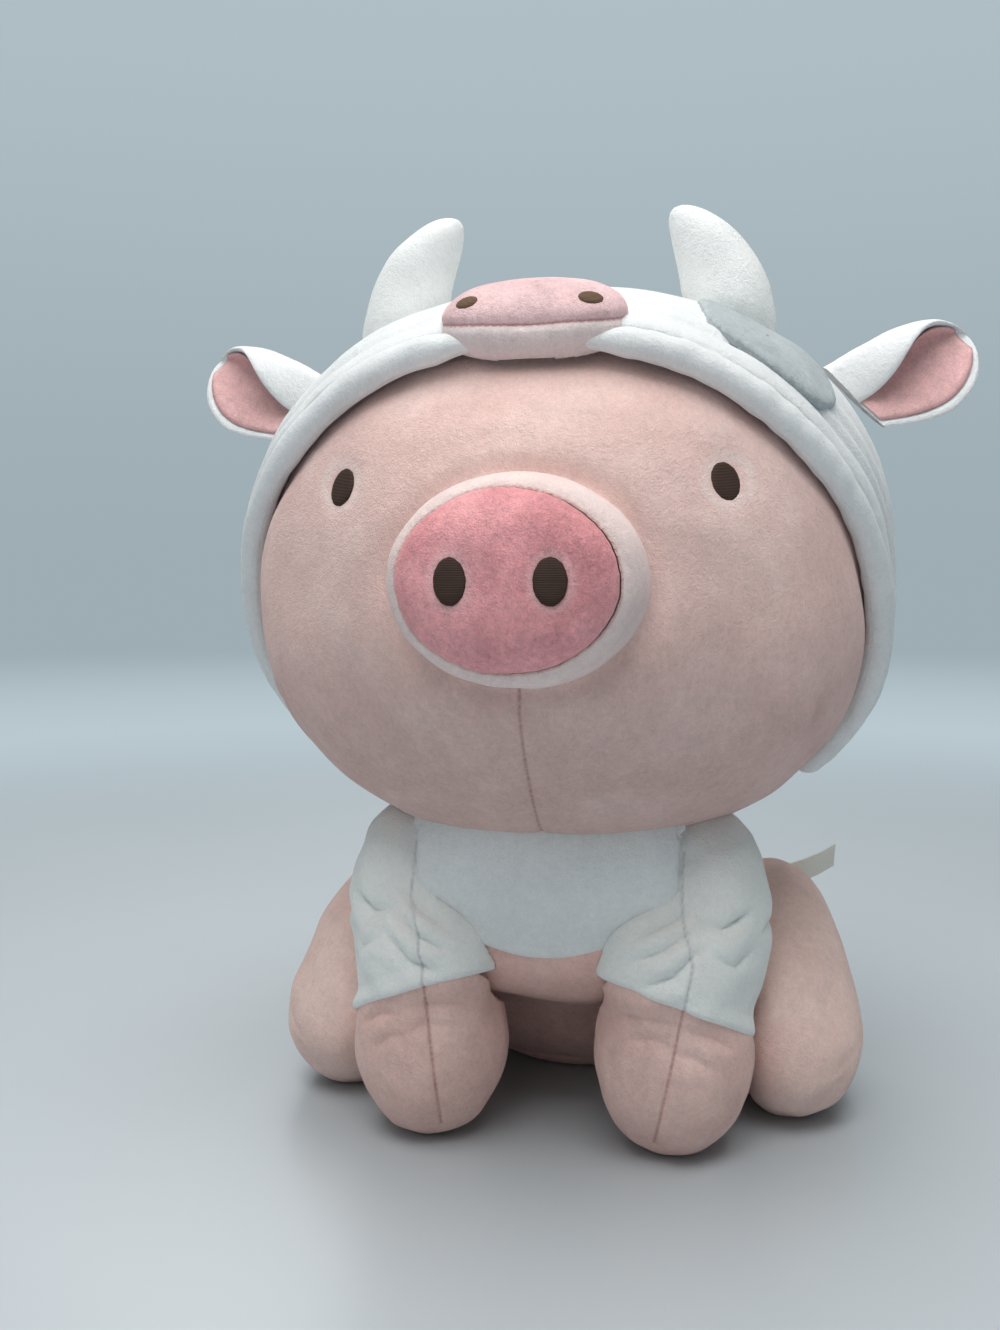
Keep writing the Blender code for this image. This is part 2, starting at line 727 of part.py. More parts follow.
def build_hind_leg(side, word, torso, tools):
    """One hind leg: two velour halves and their stuffing, sewn flat to the rump."""
    form = hind_leg(side)
    pieces = [
        panel(f"hind_leg_{word}_outer_panel", form, ALL_ROUND, (0, 5), "pink velour", torso),
        panel(f"hind_leg_{word}_inner_panel", form, ALL_ROUND, (5, 10), "pink velour", torso),
        filling(f"hind_leg_{word}_stuffing", form, VELOUR + STUFFING_CLEARANCE, owner=torso),
    ]
    for piece in pieces:
        cut(piece, tools["torso"])
        keep_largest(piece)


def build_front_leg(side, word, torso, tools):
    """One front leg, which swings on its shoulder: sleeve halves, hoof halves and stuffing."""
    location = (side * SHOULDER_PLANE, -SHOULDER_AHEAD, SHOULDER_HEIGHT)
    owner = joint_empty(f"shoulder_{word}", Vector(location), torso)
    form = front_leg(side)
    swing = chest_swing(f"chest_swing_{word}", side)
    pieces = [
        panel(f"sleeve_{word}_outer_panel", form, OUTER_HALF, (0, 5), "white velour", owner),
        panel(f"sleeve_{word}_inner_panel", form, INNER_HALF, (0, 5), "white velour", owner),
        panel(f"hoof_{word}_outer_panel", form, OUTER_HALF, (5, 9), "pink velour", owner),
        panel(f"hoof_{word}_inner_panel", form, INNER_HALF, (5, 9), "pink velour", owner),
        filling(f"front_leg_{word}_stuffing", form, VELOUR + STUFFING_CLEARANCE, owner=owner),
    ]
    for piece in pieces:
        cut(piece, tools["torso"])
        cut(piece, swing)
        cut(piece, tools["head_sweep"])
        keep_largest(piece)


def surface_frame(form, around, from_pole, side):
    """A place on a form with its outward normal and the tangent along rising columns."""
    turn = math.radians(1)
    place = form.point(around, from_pole, 0)
    along = form.point(around + math.degrees(turn), from_pole, 0) - place
    down = form.point(around, from_pole + math.degrees(turn), 0) - place
    normal = along.cross(down).normalized()
    if normal.dot(place - form.core) < 0:
        normal.negate()
    return [mirrored(vector, side) for vector in (place, normal, along.normalized())]


def seated_oval(name, material, place, normal, upright, halves, owner):
    """A flat oval of satin stitches, half sunk into the surface that will cut it."""
    ball = Ball(Vector(), (halves[0], EMBROIDERY, halves[1]))
    form = Form([ball], FRONT, UP, OVAL_COLUMNS, lambda around: OVAL_ROWS)
    bm = bmesh.new()
    across = upright.cross(normal).normalized()
    upright = normal.cross(across).normalized()
    turn = Matrix((across, -normal, upright)).transposed()
    grid = []
    for a in form.columns[:-1]:
        grid.append([bm.verts.new(place + turn @ form.point(a, tilt, 0)) for tilt in form.rows(a)])
    add_grid(bm, grid)
    return clean_object(name, bm, material, owner)


def head_front(across, rise):
    """The place on the front of the head at a sideways and an upward offset, and its normal."""
    direction = Vector((across, -math.sqrt(HEAD_RADIUS**2 - across**2 - rise**2), rise)).normalized()
    place = HEAD_MIDDLE + direction * HEAD.reach(direction, 0)
    step = HEAD_RADIUS * SLOPE_STEP_SHARE
    slope = Vector([
        HEAD_BALL.gauge(place + axis * step, 0) - HEAD_BALL.gauge(place - axis * step, 0)
        for axis in (Vector((1, 0, 0)), Vector((0, 1, 0)), UP)
    ])
    return place, slope.normalized()


def snout_form():
    """The snout: a soft drum rooted a little inside the front of the head."""
    root = SNOUT_LENGTH * SNOUT_ROOT_SHARE
    middle = HEAD_MIDDLE + Vector((0, root - HEAD_RADIUS, SNOUT_ABOVE_HEAD_MIDDLE))
    halves = (SNOUT_HALF_WIDTH, SNOUT_LENGTH, SNOUT_HALF_HEIGHT)

    def rows(around):
        turn = math.radians(around)
        shares = abs(math.cos(turn)) / halves[0], abs(math.sin(turn)) / halves[2]
        outline = 1 / math.hypot(*shares)
        face = halves[1] * (1 - SNOUT_RIM_SHARE**DRUM) ** (1 / DRUM)
        rim = math.degrees(math.atan2(outline * SNOUT_RIM_SHARE, face))
        return [*steps(0, rim, 3), *steps(rim, SNOUT_ROOT_ANGLE, 3)[1:], 180]

    return Form([Ball(middle, halves, DRUM, turned="y")], FRONT, UP, TURN_COLUMNS, rows)


def build_face(head, tools):
    """Face and back panels, stuffing, eyes and the snout with its nostrils."""
    panel("face_panel", HEAD, ALL_ROUND, (1, 9), "pink velour", head, slit=True)
    panel("head_back_panel", HEAD, ALL_ROUND, (9, 14), "pink velour", head)
    filling("head_stuffing", HEAD, VELOUR + STUFFING_CLEARANCE, owner=head, every=2)
    form = snout_form()
    pieces = [
        panel("snout_pad", form, ALL_ROUND, (0, 3), "rose velour", head),
        panel("snout_wall_panel", form, ALL_ROUND, (3, 6), "pale pink velour", head, slit=True),
        filling("snout_stuffing", form, VELOUR + STUFFING_CLEARANCE, owner=head),
    ]
    for side, word in SIDES:
        place, normal = head_front(side * EYE_SPREAD, EYE_RISE)
        halves = (EYE_HALF_WIDTH, EYE_HALF_HEIGHT)
        pieces.append(seated_oval(f"eye_{word}", "dark brown thread", place, normal, UP, halves, head))
    for piece in pieces:
        cut(piece, tools["head"])
    snout_tool = cutter("snout_cutter", form)
    for side, word in SIDES:
        turn = 0 if side > 0 else 180
        tilt = math.degrees(math.atan2(NOSTRIL_SPREAD, SNOUT_LENGTH))
        place = form.point(turn, tilt, 0)
        halves = (NOSTRIL_HALF_WIDTH, NOSTRIL_HALF_HEIGHT)
        oval = seated_oval(f"nostril_{word}", "dark brown thread", place, FRONT, UP, halves, head)
        cut(oval, snout_tool)


def hem_roll(name, radius, owner, material):
    """The stuffed roll along the hood's front edge."""
    bm = bmesh.new()
    count = HEM_ROLL_SIDES
    around = TURN_COLUMNS[:-1]
    middles = [HOOD.point(a, HOOD.hem(a), HOOD.layers() / 2) for a in around]
    rings = []
    for i, middle in enumerate(middles):
        ahead = (middles[(i + 1) % len(middles)] - middles[i - 1]).normalized()
        outward = (middle - HEAD_MIDDLE).normalized()
        side = ahead.cross(outward).normalized()
        outward = side.cross(ahead)
        ring = []
        for k in range(count):
            turn = 2 * math.pi * k / count
            ring.append(bm.verts.new(middle + radius * (outward * math.cos(turn) + side * math.sin(turn))))
        rings.append(ring)
    for i, ring in enumerate(rings):
        after = rings[(i + 1) % len(rings)]
        for k in range(count):
            other = (k + 1) % count
            bm.faces.new((ring[k], ring[other], after[other], after[k]))
    return clean_object(name, bm, material, owner)


def build_hood(head, tools):
    """Outer panels, padding, lining and the hem roll, all cut level above the jacket."""
    first = VELOUR + GAP
    second = first + PADDING_THICKNESS + GAP
    rows = (0, HOOD_ROW_COUNT)
    pieces = [
        panel("hood_left_panel", HOOD, OUTER_HALF, rows, "white velour", head),
        panel("hood_right_panel", HOOD, INNER_HALF, rows, "white velour", head),
        panel("hood_padding", HOOD, ALL_ROUND, rows, "polyester stuffing", head, PADDING_THICKNESS, first),
        panel("hood_lining", HOOD, ALL_ROUND, rows, "white velour", head, VELOUR, second),
        hem_roll("hood_hem_roll", HEM_ROLL_RADIUS, head, "white velour"),
    ]
    for piece in pieces:
        cut(piece, tools["hood_bottom"])


def patch_outline(turn):
    """Share of the patch's reach at an angle in degrees: a rounded, uneven patch."""
    count = len(PATCH_OUTLINE_SHARES)
    place = turn / 360 * count
    low = math.floor(place)
    blend = place - low
    before = PATCH_OUTLINE_SHARES[low % count]
    after = PATCH_OUTLINE_SHARES[(low + 1) % count]
    return before + (after - before) * blend


def patch_solid(name, low, high, spread, material, owner):
    """The grey patch between two heights above the hood's left panel."""
    bm = bmesh.new()
    reach = math.degrees((PATCH_HALF_LENGTH + spread) / HEAD_RADIUS)
    sheets = []
    for height in (high, low):
        middle = bm.verts.new(HOOD.point(PATCH_AROUND, PATCH_FROM_FRONT, -height))
        rings = []
        for share in PATCH_RING_SHARES:
            ring = []
            for turn in steps(0, 360, PATCH_SEGMENTS)[:-1]:
                distance = reach * share * patch_outline(turn)
                around = PATCH_AROUND + distance * math.cos(math.radians(turn))
                tilt = PATCH_FROM_FRONT + distance * PATCH_NARROW_SHARE * math.sin(math.radians(turn))
                ring.append(bm.verts.new(HOOD.point(around, tilt, -height)))
            rings.append(ring)
        count = len(rings[0])
        for k in range(count):
            bm.faces.new((middle, rings[0][k], rings[0][(k + 1) % count]))
            for inner, outer in zip(rings, rings[1:]):
                bm.faces.new((inner[k], outer[k], outer[(k + 1) % count], inner[(k + 1) % count]))
        sheets.append(rings[-1])
    for k in range(len(sheets[0])):
        after = (k + 1) % len(sheets[0])
        bm.faces.new((sheets[0][k], sheets[1][k], sheets[1][after], sheets[0][after]))
    return clean_object(name, bm, material, owner)


def muzzle_form():
    """The small stuffed cow muzzle on the hood's front edge, built flat before it is turned."""
    return Form(
        [Ball(Vector(), (MUZZLE_HALF_WIDTH, MUZZLE_HALF_LENGTH, MUZZLE_HALF_THICKNESS), CHEEKY)],
        Vector((1, 0, 0)),
        UP,
        MUZZLE_COLUMNS,
        lambda around: MUZZLE_ROWS,
    )


class Placed:
    """A form turned and moved to where it is sewn on."""

    def __init__(self, form, turn, place):
        self.form = form
        self.turn = turn
        self.place = place
        self.columns = form.columns
        self.rows = form.rows

    def point(self, around, from_pole, depth):
        """The place at two pattern angles, a depth inside the surface."""
        return self.place + self.turn @ self.form.point(around, from_pole, depth)


def build_muzzle(head, tools):
    """Cow muzzle: pad, paler underside, stuffing and two embroidered nostrils."""
    _, normal, _ = surface_frame(HOOD, 90, MUZZLE_FROM_FRONT, 1)
    turn = UP.rotation_difference(normal).to_matrix()
    sunk = MUZZLE_HALF_THICKNESS * MUZZLE_SUNK_SHARE
    form = Placed(muzzle_form(), turn, HOOD.point(90, MUZZLE_FROM_FRONT, sunk))
    pieces = [
        panel("cow_muzzle_pad", form, MUZZLE_PAD_COLUMNS, (0, 6), "rose velour", head),
        panel("cow_muzzle_underside", form, MUZZLE_LIP_COLUMNS, (0, 6), "pale pink velour", head),
        filling("cow_muzzle_stuffing", form, VELOUR + STUFFING_CLEARANCE, owner=head),
    ]
    for piece in pieces:
        cut(piece, tools["hood"])
        cut(piece, tools["hem"])
    muzzle_tool = cutter("muzzle_cutter", form)
    for side, word in SIDES:
        share = MUZZLE_NOSTRIL_SPREAD / MUZZLE_HALF_WIDTH
        place = form.point(MUZZLE_NOSTRIL_TURN, math.degrees(math.acos(share * side)), 0)
        normal = (place - form.place).normalized()
        normal.x *= MUZZLE_HALF_THICKNESS / MUZZLE_HALF_WIDTH
        halves = (MUZZLE_NOSTRIL_HALF_WIDTH, MUZZLE_NOSTRIL_HALF_HEIGHT)
        name = f"cow_nostril_{word}"
        oval = seated_oval(name, "amber brown thread", place, normal.normalized(), UP, halves, head)
        cut(oval, muzzle_tool)


def horn_point(foot, side, around, rise, depth):
    """A place on a blunt horn that leans inwards, with rise from 0 at its foot to 90 at its tip."""
    buried = HORN_RADIUS
    height = (HORN_HEIGHT + buried - depth) * math.sin(math.radians(rise))
    share = height / (HORN_HEIGHT + buried)
    slim = (1 - HORN_TAPER * share) * max(0, 1 - share**HORN_BLUNTNESS) ** (1 / ROUND)
    radius = max(0, HORN_RADIUS * slim - depth) if rise < 90 else 0
    above = max(0, height - buried) / HORN_HEIGHT
    turn = math.radians(around)
    across = radius * math.cos(turn) - HORN_LEAN * above**2
    return Vector((
        foot.x + side * across,
        foot.y - radius * math.sin(turn),
        foot.z + height - buried,
    ))


def build_horn(side, word, head, tools):
    """One stuffed horn, open where it is sewn to the hood."""
    foot = surface_frame(HOOD, HORN_AROUND, HORN_FROM_FRONT, side)[0]
    columns = steps(0, 360, HORN_SEGMENTS)[:-1]
    layers = []
    for depth in (0, VELOUR):
        layers.append([[horn_point(foot, side, a, rise, depth) for rise in HORN_RISES] for a in columns])
    bm = layered_solid(layers, True, False, True)
    skin = clean_object(f"horn_{word}_skin", bm, "white velour", head)
    bm = bmesh.new()
    inside = VELOUR + STUFFING_CLEARANCE
    grid = []
    for a in columns:
        line = [horn_point(foot, side, a, rise, inside) for rise in HORN_RISES]
        middle = Vector((foot.x, foot.y, line[0].z))
        grid.append([bm.verts.new(place) for place in [middle, *line]])
    add_grid(bm, grid)
    core = clean_object(f"horn_{word}_stuffing", bm, "polyester stuffing", head)
    for piece in (skin, core):
        cut(piece, tools["hood"])
        if side > 0:
            cut(piece, tools["patch"])


def ear_point(axis, frame, station, across, offset, margin):
    """A place in the ear's leaf: a share of its length, a share of its width and a distance ahead."""
    normal, along, ahead = frame
    length = EAR_LENGTH - margin
    tip = normal * math.cos(math.radians(EAR_DROOP)) - along * math.sin(math.radians(EAR_DROOP))
    width = (EAR_HALF_WIDTH - margin) * (1 + EAR_SWELL_SHARE * math.sin(math.pi * station))
    width *= (1 - station**EAR_POINT) ** (1 / ROUND)
    cup = EAR_CUP * (across**2 - EAR_CUP_SHARE) * math.sin(math.pi * station * EAR_CUP_REACH_SHARE)
    rooted = axis + normal * EAR_ROOT_ROLL_RADIUS
    return rooted + tip * length * station + along * width * across + ahead * (offset + cup)


def ear_leaf(name, axis, frame, rolled, margin, behind, ahead_of, material, owner):
    """One layer of an ear between two distances ahead of its middle, with or without the root roll."""
    normal, along, ahead = frame
    layers = []
    for face, offset in ((-1, behind), (1, ahead_of)):
        grid = []
        for across in EAR_BREADTH:
            line = []
            if rolled:
                for out, thick in ROLL_STATIONS:
                    place = axis + normal * out * EAR_ROOT_ROLL_RADIUS
                    place += along * (EAR_HALF_WIDTH - margin) * across
                    line.append(place + ahead * face * thick * EAR_ROOT_ROLL_RADIUS)
            stations = EAR_STATIONS[1:]
            line += [ear_point(axis, frame, share, across, offset, margin) for share in stations]
            grid.append(line)
        layers.append(grid)
    bm = layered_solid(layers, False, False, False)
    return clean_object(name, bm, material, owner)


def ear_seat(carrier, place, normal, along):
    """How far the hood's own facets rise above a place, along the whole root of an ear."""
    lifts = []
    for share in EAR_BREADTH:
        above = place + along * EAR_HALF_WIDTH * share + normal * EAR_LENGTH
        found, hit, _, _ = carrier.ray_cast(carrier.matrix_world.inverted() @ above, -normal)
        if found:
            lifts.append((carrier.matrix_world @ hit - place).dot(normal))
    return max(lifts)


def build_ear(side, word, head):
    """One cow ear, which flops on its rolled root seam: a white leaf with a pink lining."""
    place, normal, along = surface_frame(HOOD, EAR_AROUND, EAR_FROM_FRONT, side)
    lift = ear_seat(bpy.data.objects[f"hood_{word}_panel"], place, normal, along)
    axis = place + normal * (lift + GAP + EAR_ROOT_ROLL_RADIUS)
    ahead = along.cross(normal).normalized()
    if ahead.y > 0:
        ahead.negate()
    owner = joint_empty(f"ear_root_{word}", axis, head)
    frame = (normal, along, ahead)
    skin = f"ear_{word}_outer"
    ear_leaf(skin, axis, frame, True, 0, -VELOUR, 0, "white velour", owner)
    lining = f"ear_{word}_lining"
    ear_leaf(lining, axis, frame, False, EAR_LINING_MARGIN, GAP, GAP + VELOUR, "rose velour", owner)


def build_tail(torso, tools):
    """The small stuffed tail, which curls up from the back of the rump."""
    place, normal, along = surface_frame(TORSO, -90, TAIL_FROM_POLE, 1)
    columns = steps(0, 360, TAIL_SEGMENTS)[:-1]
    across = Vector((1, 0, 0))
    rise = across.cross(normal)
    if rise.z < 0:
        rise.negate()
    bm = bmesh.new()
    grid = []
    for a in columns:
        turn = math.radians(a)
        line = [bm.verts.new(place + normal * TAIL_LENGTH * TAIL_LENGTH_SHARES[0])]
        for station, width in zip(TAIL_LENGTH_SHARES, TAIL_WIDTH_SHARES):
            middle = place + normal * TAIL_LENGTH * station + rise * TAIL_CURL * max(0, station) ** 2
            spoke = across * math.cos(turn) + rise * math.sin(turn)
            line.append(bm.verts.new(middle + spoke * TAIL_RADIUS * width))
        grid.append(line)
    add_grid(bm, grid)
    cut(clean_object("tail", bm, "pink velour", torso), tools["torso"])


def build_label(torso):
    """The blank care label, sewn into the seam at the back of the left haunch."""
    form = hind_leg(1)
    place, normal, along = surface_frame(form, LABEL_AROUND, LABEL_FROM_POLE, 1)
    outward = (Vector((1, 0, 0)) + normal * LABEL_LIFT_SHARE).normalized()
    upright = along
    lift = upright.cross(outward).normalized()
    grid = []
    for share in steps(-1, 1, 2):
        line = []
        for out in steps(-LABEL_ROOT_SHARE, 1, 4):
            sweep = outward * LABEL_LENGTH * out + upright * LABEL_WIDTH / 2 * share
            line.append(place + sweep + lift * LABEL_LENGTH * LABEL_SAG_SHARE * max(0, out) ** 2)
        grid.append(line)
    layers = []
    for height in (0, LABEL_THICKNESS):
        layers.append([[spot + lift * height for spot in line] for line in grid])
    bm = layered_solid(layers, False, False, False)
    cut(clean_object("care_label", bm, "satin label", torso), cutter("haunch_cutter", form))


def build():
    """The whole pig."""
    clear_scene()
    torso = joint_empty("body", Vector())
    tools = {
        "head_sweep": head_sweep(),
        "torso": cutter("torso_cutter", TORSO),
        "head": cutter("head_cutter", HEAD),
        "hood": cutter("hood_cutter", WHOLE_HOOD),
        "hem": hide(hem_roll("hem_cutter", HEM_ROLL_RADIUS + GAP, None, None)),
        "hood_bottom": box_below("hood_bottom", HOOD_BOTTOM_HEIGHT),
        "patch": hide(patch_solid("patch_cutter", 0, PATCH_THICKNESS + 2 * GAP, GAP, None, None)),
    }
    for side, word in SIDES:
        tools["armhole_" + word] = armhole("armhole_" + word, side, SHOULDER_PLANE, GAP)
        cut(tools["torso"], armhole("sleeve_room_" + word, side, SHOULDER_PLANE + GAP, 0))
    build_torso(torso, tools)
    build_tail(torso, tools)
    build_label(torso)
    head = joint_empty("neck", Vector((0, -HEAD_AHEAD, head_underside(0))), torso)
    build_face(head, tools)
    build_hood(head, tools)
    patch_solid("grey_patch", GAP, GAP + PATCH_THICKNESS, 0, "grey velour", head)
    build_muzzle(head, tools)
    for side, word in SIDES:
        build_horn(side, word, head, tools)
        build_ear(side, word, head)
        build_hind_leg(side, word, torso, tools)
        build_front_leg(side, word, torso, tools)


build()
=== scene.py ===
import json
import math

import bmesh
import bpy
import numpy as np
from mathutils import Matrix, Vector


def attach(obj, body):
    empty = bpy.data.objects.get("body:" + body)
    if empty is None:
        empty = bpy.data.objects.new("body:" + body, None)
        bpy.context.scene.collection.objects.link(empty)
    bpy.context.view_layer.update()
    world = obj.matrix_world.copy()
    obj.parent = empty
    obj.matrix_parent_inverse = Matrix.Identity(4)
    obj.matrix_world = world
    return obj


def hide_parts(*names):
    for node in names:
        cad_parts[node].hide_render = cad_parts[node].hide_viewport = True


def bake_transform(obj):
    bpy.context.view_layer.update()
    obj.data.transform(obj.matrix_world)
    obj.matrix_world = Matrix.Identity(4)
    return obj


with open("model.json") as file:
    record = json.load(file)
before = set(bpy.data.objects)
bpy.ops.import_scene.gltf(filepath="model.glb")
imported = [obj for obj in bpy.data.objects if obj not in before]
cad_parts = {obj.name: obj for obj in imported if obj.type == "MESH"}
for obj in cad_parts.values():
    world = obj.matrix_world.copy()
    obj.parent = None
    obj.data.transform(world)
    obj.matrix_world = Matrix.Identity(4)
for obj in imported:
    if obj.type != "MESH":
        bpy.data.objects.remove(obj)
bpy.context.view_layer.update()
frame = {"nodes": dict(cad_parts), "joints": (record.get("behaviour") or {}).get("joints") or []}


# The face: one panel of pale pink velour drawn over the stuffed ball of the head.
# It is closed by hand under the snout, down to the throat, and a dart gathers each cheek.
HEAD_MIDDLE = (0, -0.052, 0.205)
HEAD_RADIUS = 0.112
HEAD_RISE = 0.097
HEAD_DROP = 0.092
CHEEKY = 2.3
SNOUT_MIDDLE = (0, -0.148, 0.206)
SNOUT_HALVES = (0.040, 0.042, 0.033)
SNOUT_BOXY = 3.0
EYE_ASIDE = 0.0625
EYE_RISE = 0.032
EYE_HALVES = (0.0056, 0.0066)
BACK_SEAM = 100
HEM_ANGLES = np.array((41, 46, 54, 71, 91, 105, 117))
FRONT = (0, -1, 0)
UP = (0, 0, 1)
PINK = (0.84, 0.585, 0.535)
# The deep colours darken the seams: partly the seams' own line, partly painted shadow in their folds.
PINK_SEAM_LINE_AND_SHADOW = (0.56, 0.29, 0.25)
PINK_PALE = (0.90, 0.73, 0.69)
NO_SEAM = 0.05
STITCH = 0.0024


def unit(vectors):
    """The same directions, one long."""
    vectors = np.asarray(vectors, float)
    return vectors / np.maximum(np.linalg.norm(vectors, axis=-1, keepdims=True), 1e-12)


def eased(values):
    """Values held between 0 and 1, with a soft start and a soft end."""
    values = np.clip(values, 0, 1)
    return values * values * (3 - 2 * values)


def bell(values, width):
    """A soft bump: 1 at 0, and next to nothing beyond twice the width."""
    return np.exp(-((values / width) ** 2))


def apart(angle, other=90):
    """How many degrees one angle is from another, by the shorter way round."""
    return np.abs((np.asarray(angle) - other + 180) % 360 - 180)


class Ball:
    """One swelling of a stuffed piece: where its middle is, its half sizes and how boxy it is."""

    def __init__(self, middle, halves, fullness=2.0, drop=None, turned=None):
        self.middle = np.array(middle, float)
        self.halves = halves
        self.fullness = fullness
        self.drop = halves[2] if drop is None else drop
        self.turned = turned

    def gauge(self, points, grow=0.0):
        """Below 1 inside the ball and 1 on it."""
        offset = points - self.middle
        height = np.where(offset[..., 2] > 0, self.halves[2], self.drop)
        shares = [
            np.abs(offset[..., 0]) / (self.halves[0] + grow),
            np.abs(offset[..., 1]) / (self.halves[1] + grow),
            np.abs(offset[..., 2]) / (height + grow),
        ]
        if self.turned is not None:
            along = shares.pop("xyz".index(self.turned))
            shares = [np.hypot(*shares), along]
        return sum(share**self.fullness for share in shares) ** (1 / self.fullness)


class Form:
    """A stuffed form: balls melted together, with angles round a pole and from it."""

    MELT = 7
    HALVINGS = 34
    SLOPE_STEP = 0.0004

    def __init__(self, balls, pole, ahead, floor=None, core=None):
        self.balls = balls
        self.pole = unit(pole)
        ahead = np.array(ahead, float)
        self.ahead = unit(ahead - ahead.dot(self.pole) * self.pole)
        self.across = np.cross(self.ahead, self.pole)
        if self.across[0] < 0 or (self.across[0] == 0 and self.across[1] < 0):
            self.across = -self.across
        self.floor = floor
        self.core = sum(ball.middle for ball in balls) / len(balls) if core is None else np.array(core, float)

    def gauge(self, points, grow=0.0):
        """1 on the melted surface of all the balls, less inside."""
        total = sum(np.maximum(ball.gauge(points, grow), 1e-6) ** -self.MELT for ball in self.balls)
        return total ** (-1 / self.MELT)

    def reach(self, directions, grow=0.0, start=None):
        """How far the surface is along each direction."""
        start = self.core if start is None else start
        inner = np.zeros(np.broadcast(directions[..., 0], grow).shape)
        outer = inner + 4 * max(max(ball.halves) for ball in self.balls)
        for _ in range(self.HALVINGS):
            middle = (inner + outer) / 2
            inside = self.gauge(start + directions * middle[..., None], grow) < 1
            inner = np.where(inside, middle, inner)
            outer = np.where(inside, outer, middle)
        return inner

    def direction(self, around, tilt):
        """The direction at two angles in degrees."""
        turn = np.radians(around)[..., None]
        lean = np.radians(tilt)[..., None]
        rim = self.across * np.cos(turn) + self.ahead * np.sin(turn)
        return self.pole * np.cos(lean) + rim * np.sin(lean)

    def point(self, around, tilt, depth=0.0):
        """The place at two angles, some depth inside the surface."""
        around, tilt, depth = np.broadcast_arrays(np.asarray(around, float), tilt, depth)
        directions = self.direction(around, tilt)
        place = self.core + directions * self.reach(directions, -depth)[..., None]
        if self.floor is not None:
            place[..., 2] = np.maximum(place[..., 2], self.floor + depth)
        return place

    def normal(self, points):
        """The way out of the surface at each point."""
        slopes = []
        for axis in np.eye(3) * self.SLOPE_STEP:
            slopes.append(self.gauge(points + axis) - self.gauge(points - axis))
        return unit(np.stack(slopes, -1))

    def raised(self, points, relief):
        """Points of the surface, moved out by a relief."""
        return points + self.normal(points) * relief[..., None]

    def angles(self, places):
        """The two angles at which each place is seen from the form's core."""
        way = unit(np.array(places, float) - self.core)
        around = np.degrees(np.arctan2(way @ self.ahead, way @ self.across))
        return np.stack((around, np.degrees(np.arccos(np.clip(way @ self.pole, -1, 1)))), -1)

    def line(self, corners):
        """A line over the surface through pairs of angles, for a seam or a crease."""
        corners = np.array(corners, float)
        way = [corners[:1]]
        for start, end in zip(corners, corners[1:]):
            count = int(max(4, np.abs(end - start).max() * 2))
            way.append(start + (end - start) * np.linspace(0, 1, count + 1)[1:, None])
        way = np.concatenate(way)
        return self.point(way[:, 0], way[:, 1])


def lengths(line):
    """How far along a line each of its points is."""
    return np.concatenate(([0], np.cumsum(np.linalg.norm(np.diff(line, axis=0), axis=1))))


def near(points, line, batch=4000):
    """How far each point is from a line, and how far along the line that is."""
    along = lengths(line)
    flat = points.reshape(-1, 3)
    far = np.empty(len(flat))
    run = np.empty(len(flat))
    for start in range(0, len(flat), batch):
        some = slice(start, start + batch)
        gaps = ((flat[some][:, None] - line[None]) ** 2).sum(-1)
        far[some] = np.sqrt(gaps.min(1))
        run[some] = along[gaps.argmin(1)]
    return far.reshape(points.shape[:-1]), run.reshape(points.shape[:-1])


def nearest_seam(points, lines):
    """For each point, how far the nearest of some seams is, and how far along it."""
    far = np.full(points.shape[:-1], NO_SEAM)
    run = np.zeros(points.shape[:-1])
    for line in lines:
        gap, place = near(points, line)
        run = np.where(gap < far, place, run)
        far = np.minimum(far, gap)
    return far, run


def drawn_in(far, run, depth=0.0011, width=0.0015, valley=0.0008, spread=0.006, pull=0.00022, pitch=0.005):
    """How a seam draws the fabric in: a fold, a soft valley, and small puckers across it."""
    puckers = np.sin(2 * np.pi * run / pitch + 1.7 * np.sin(run * 190)) * bell(far, 0.7 * spread)
    return pull * puckers - depth * bell(far, width) - valley * bell(far, spread)


def creased(points, creases):
    """The relief of soft creases, each a line with its width and depth, faded at both ends."""
    total = np.zeros(points.shape[:-1])
    for line, width, depth in creases:
        gap, run = near(points, line)
        length = lengths(line)[-1]
        fade = eased(np.minimum(run, length - run) / (0.35 * length))
        side = np.exp(-((gap / width) ** 1.2)) - 0.24 * bell(gap - 3.4 * width, 2.0 * width)
        total -= depth * side * fade
    return total


def lumps(points, size, seed):
    """Uneven stuffing: smooth rises and hollows of about one size, between -1 and 1."""
    maker = np.random.default_rng(seed)
    total = np.zeros(points.shape[:-1])
    for _ in range(10):
        wave = unit(maker.normal(size=3)) * 2 * np.pi / size * maker.uniform(0.6, 1.5)
        total += np.sin(points @ wave + maker.uniform(0, 6.28))
    return total / 4.5


def halo(points, place, halves, margin, width):
    """A ring round some stitching, where the pile is pressed flat."""
    across = (points[..., 0] - place[0]) / (halves[0] + margin)
    rise = (points[..., 2] - place[2]) / (halves[1] + margin)
    return bell(np.hypot(across, rise) - 1, width)


def reworked(mesh, work):
    """Change a mesh in place by one piece of work on its points and faces."""
    bm = bmesh.new()
    bm.from_mesh(mesh)
    work(bm)
    bm.to_mesh(mesh)
    bm.free()


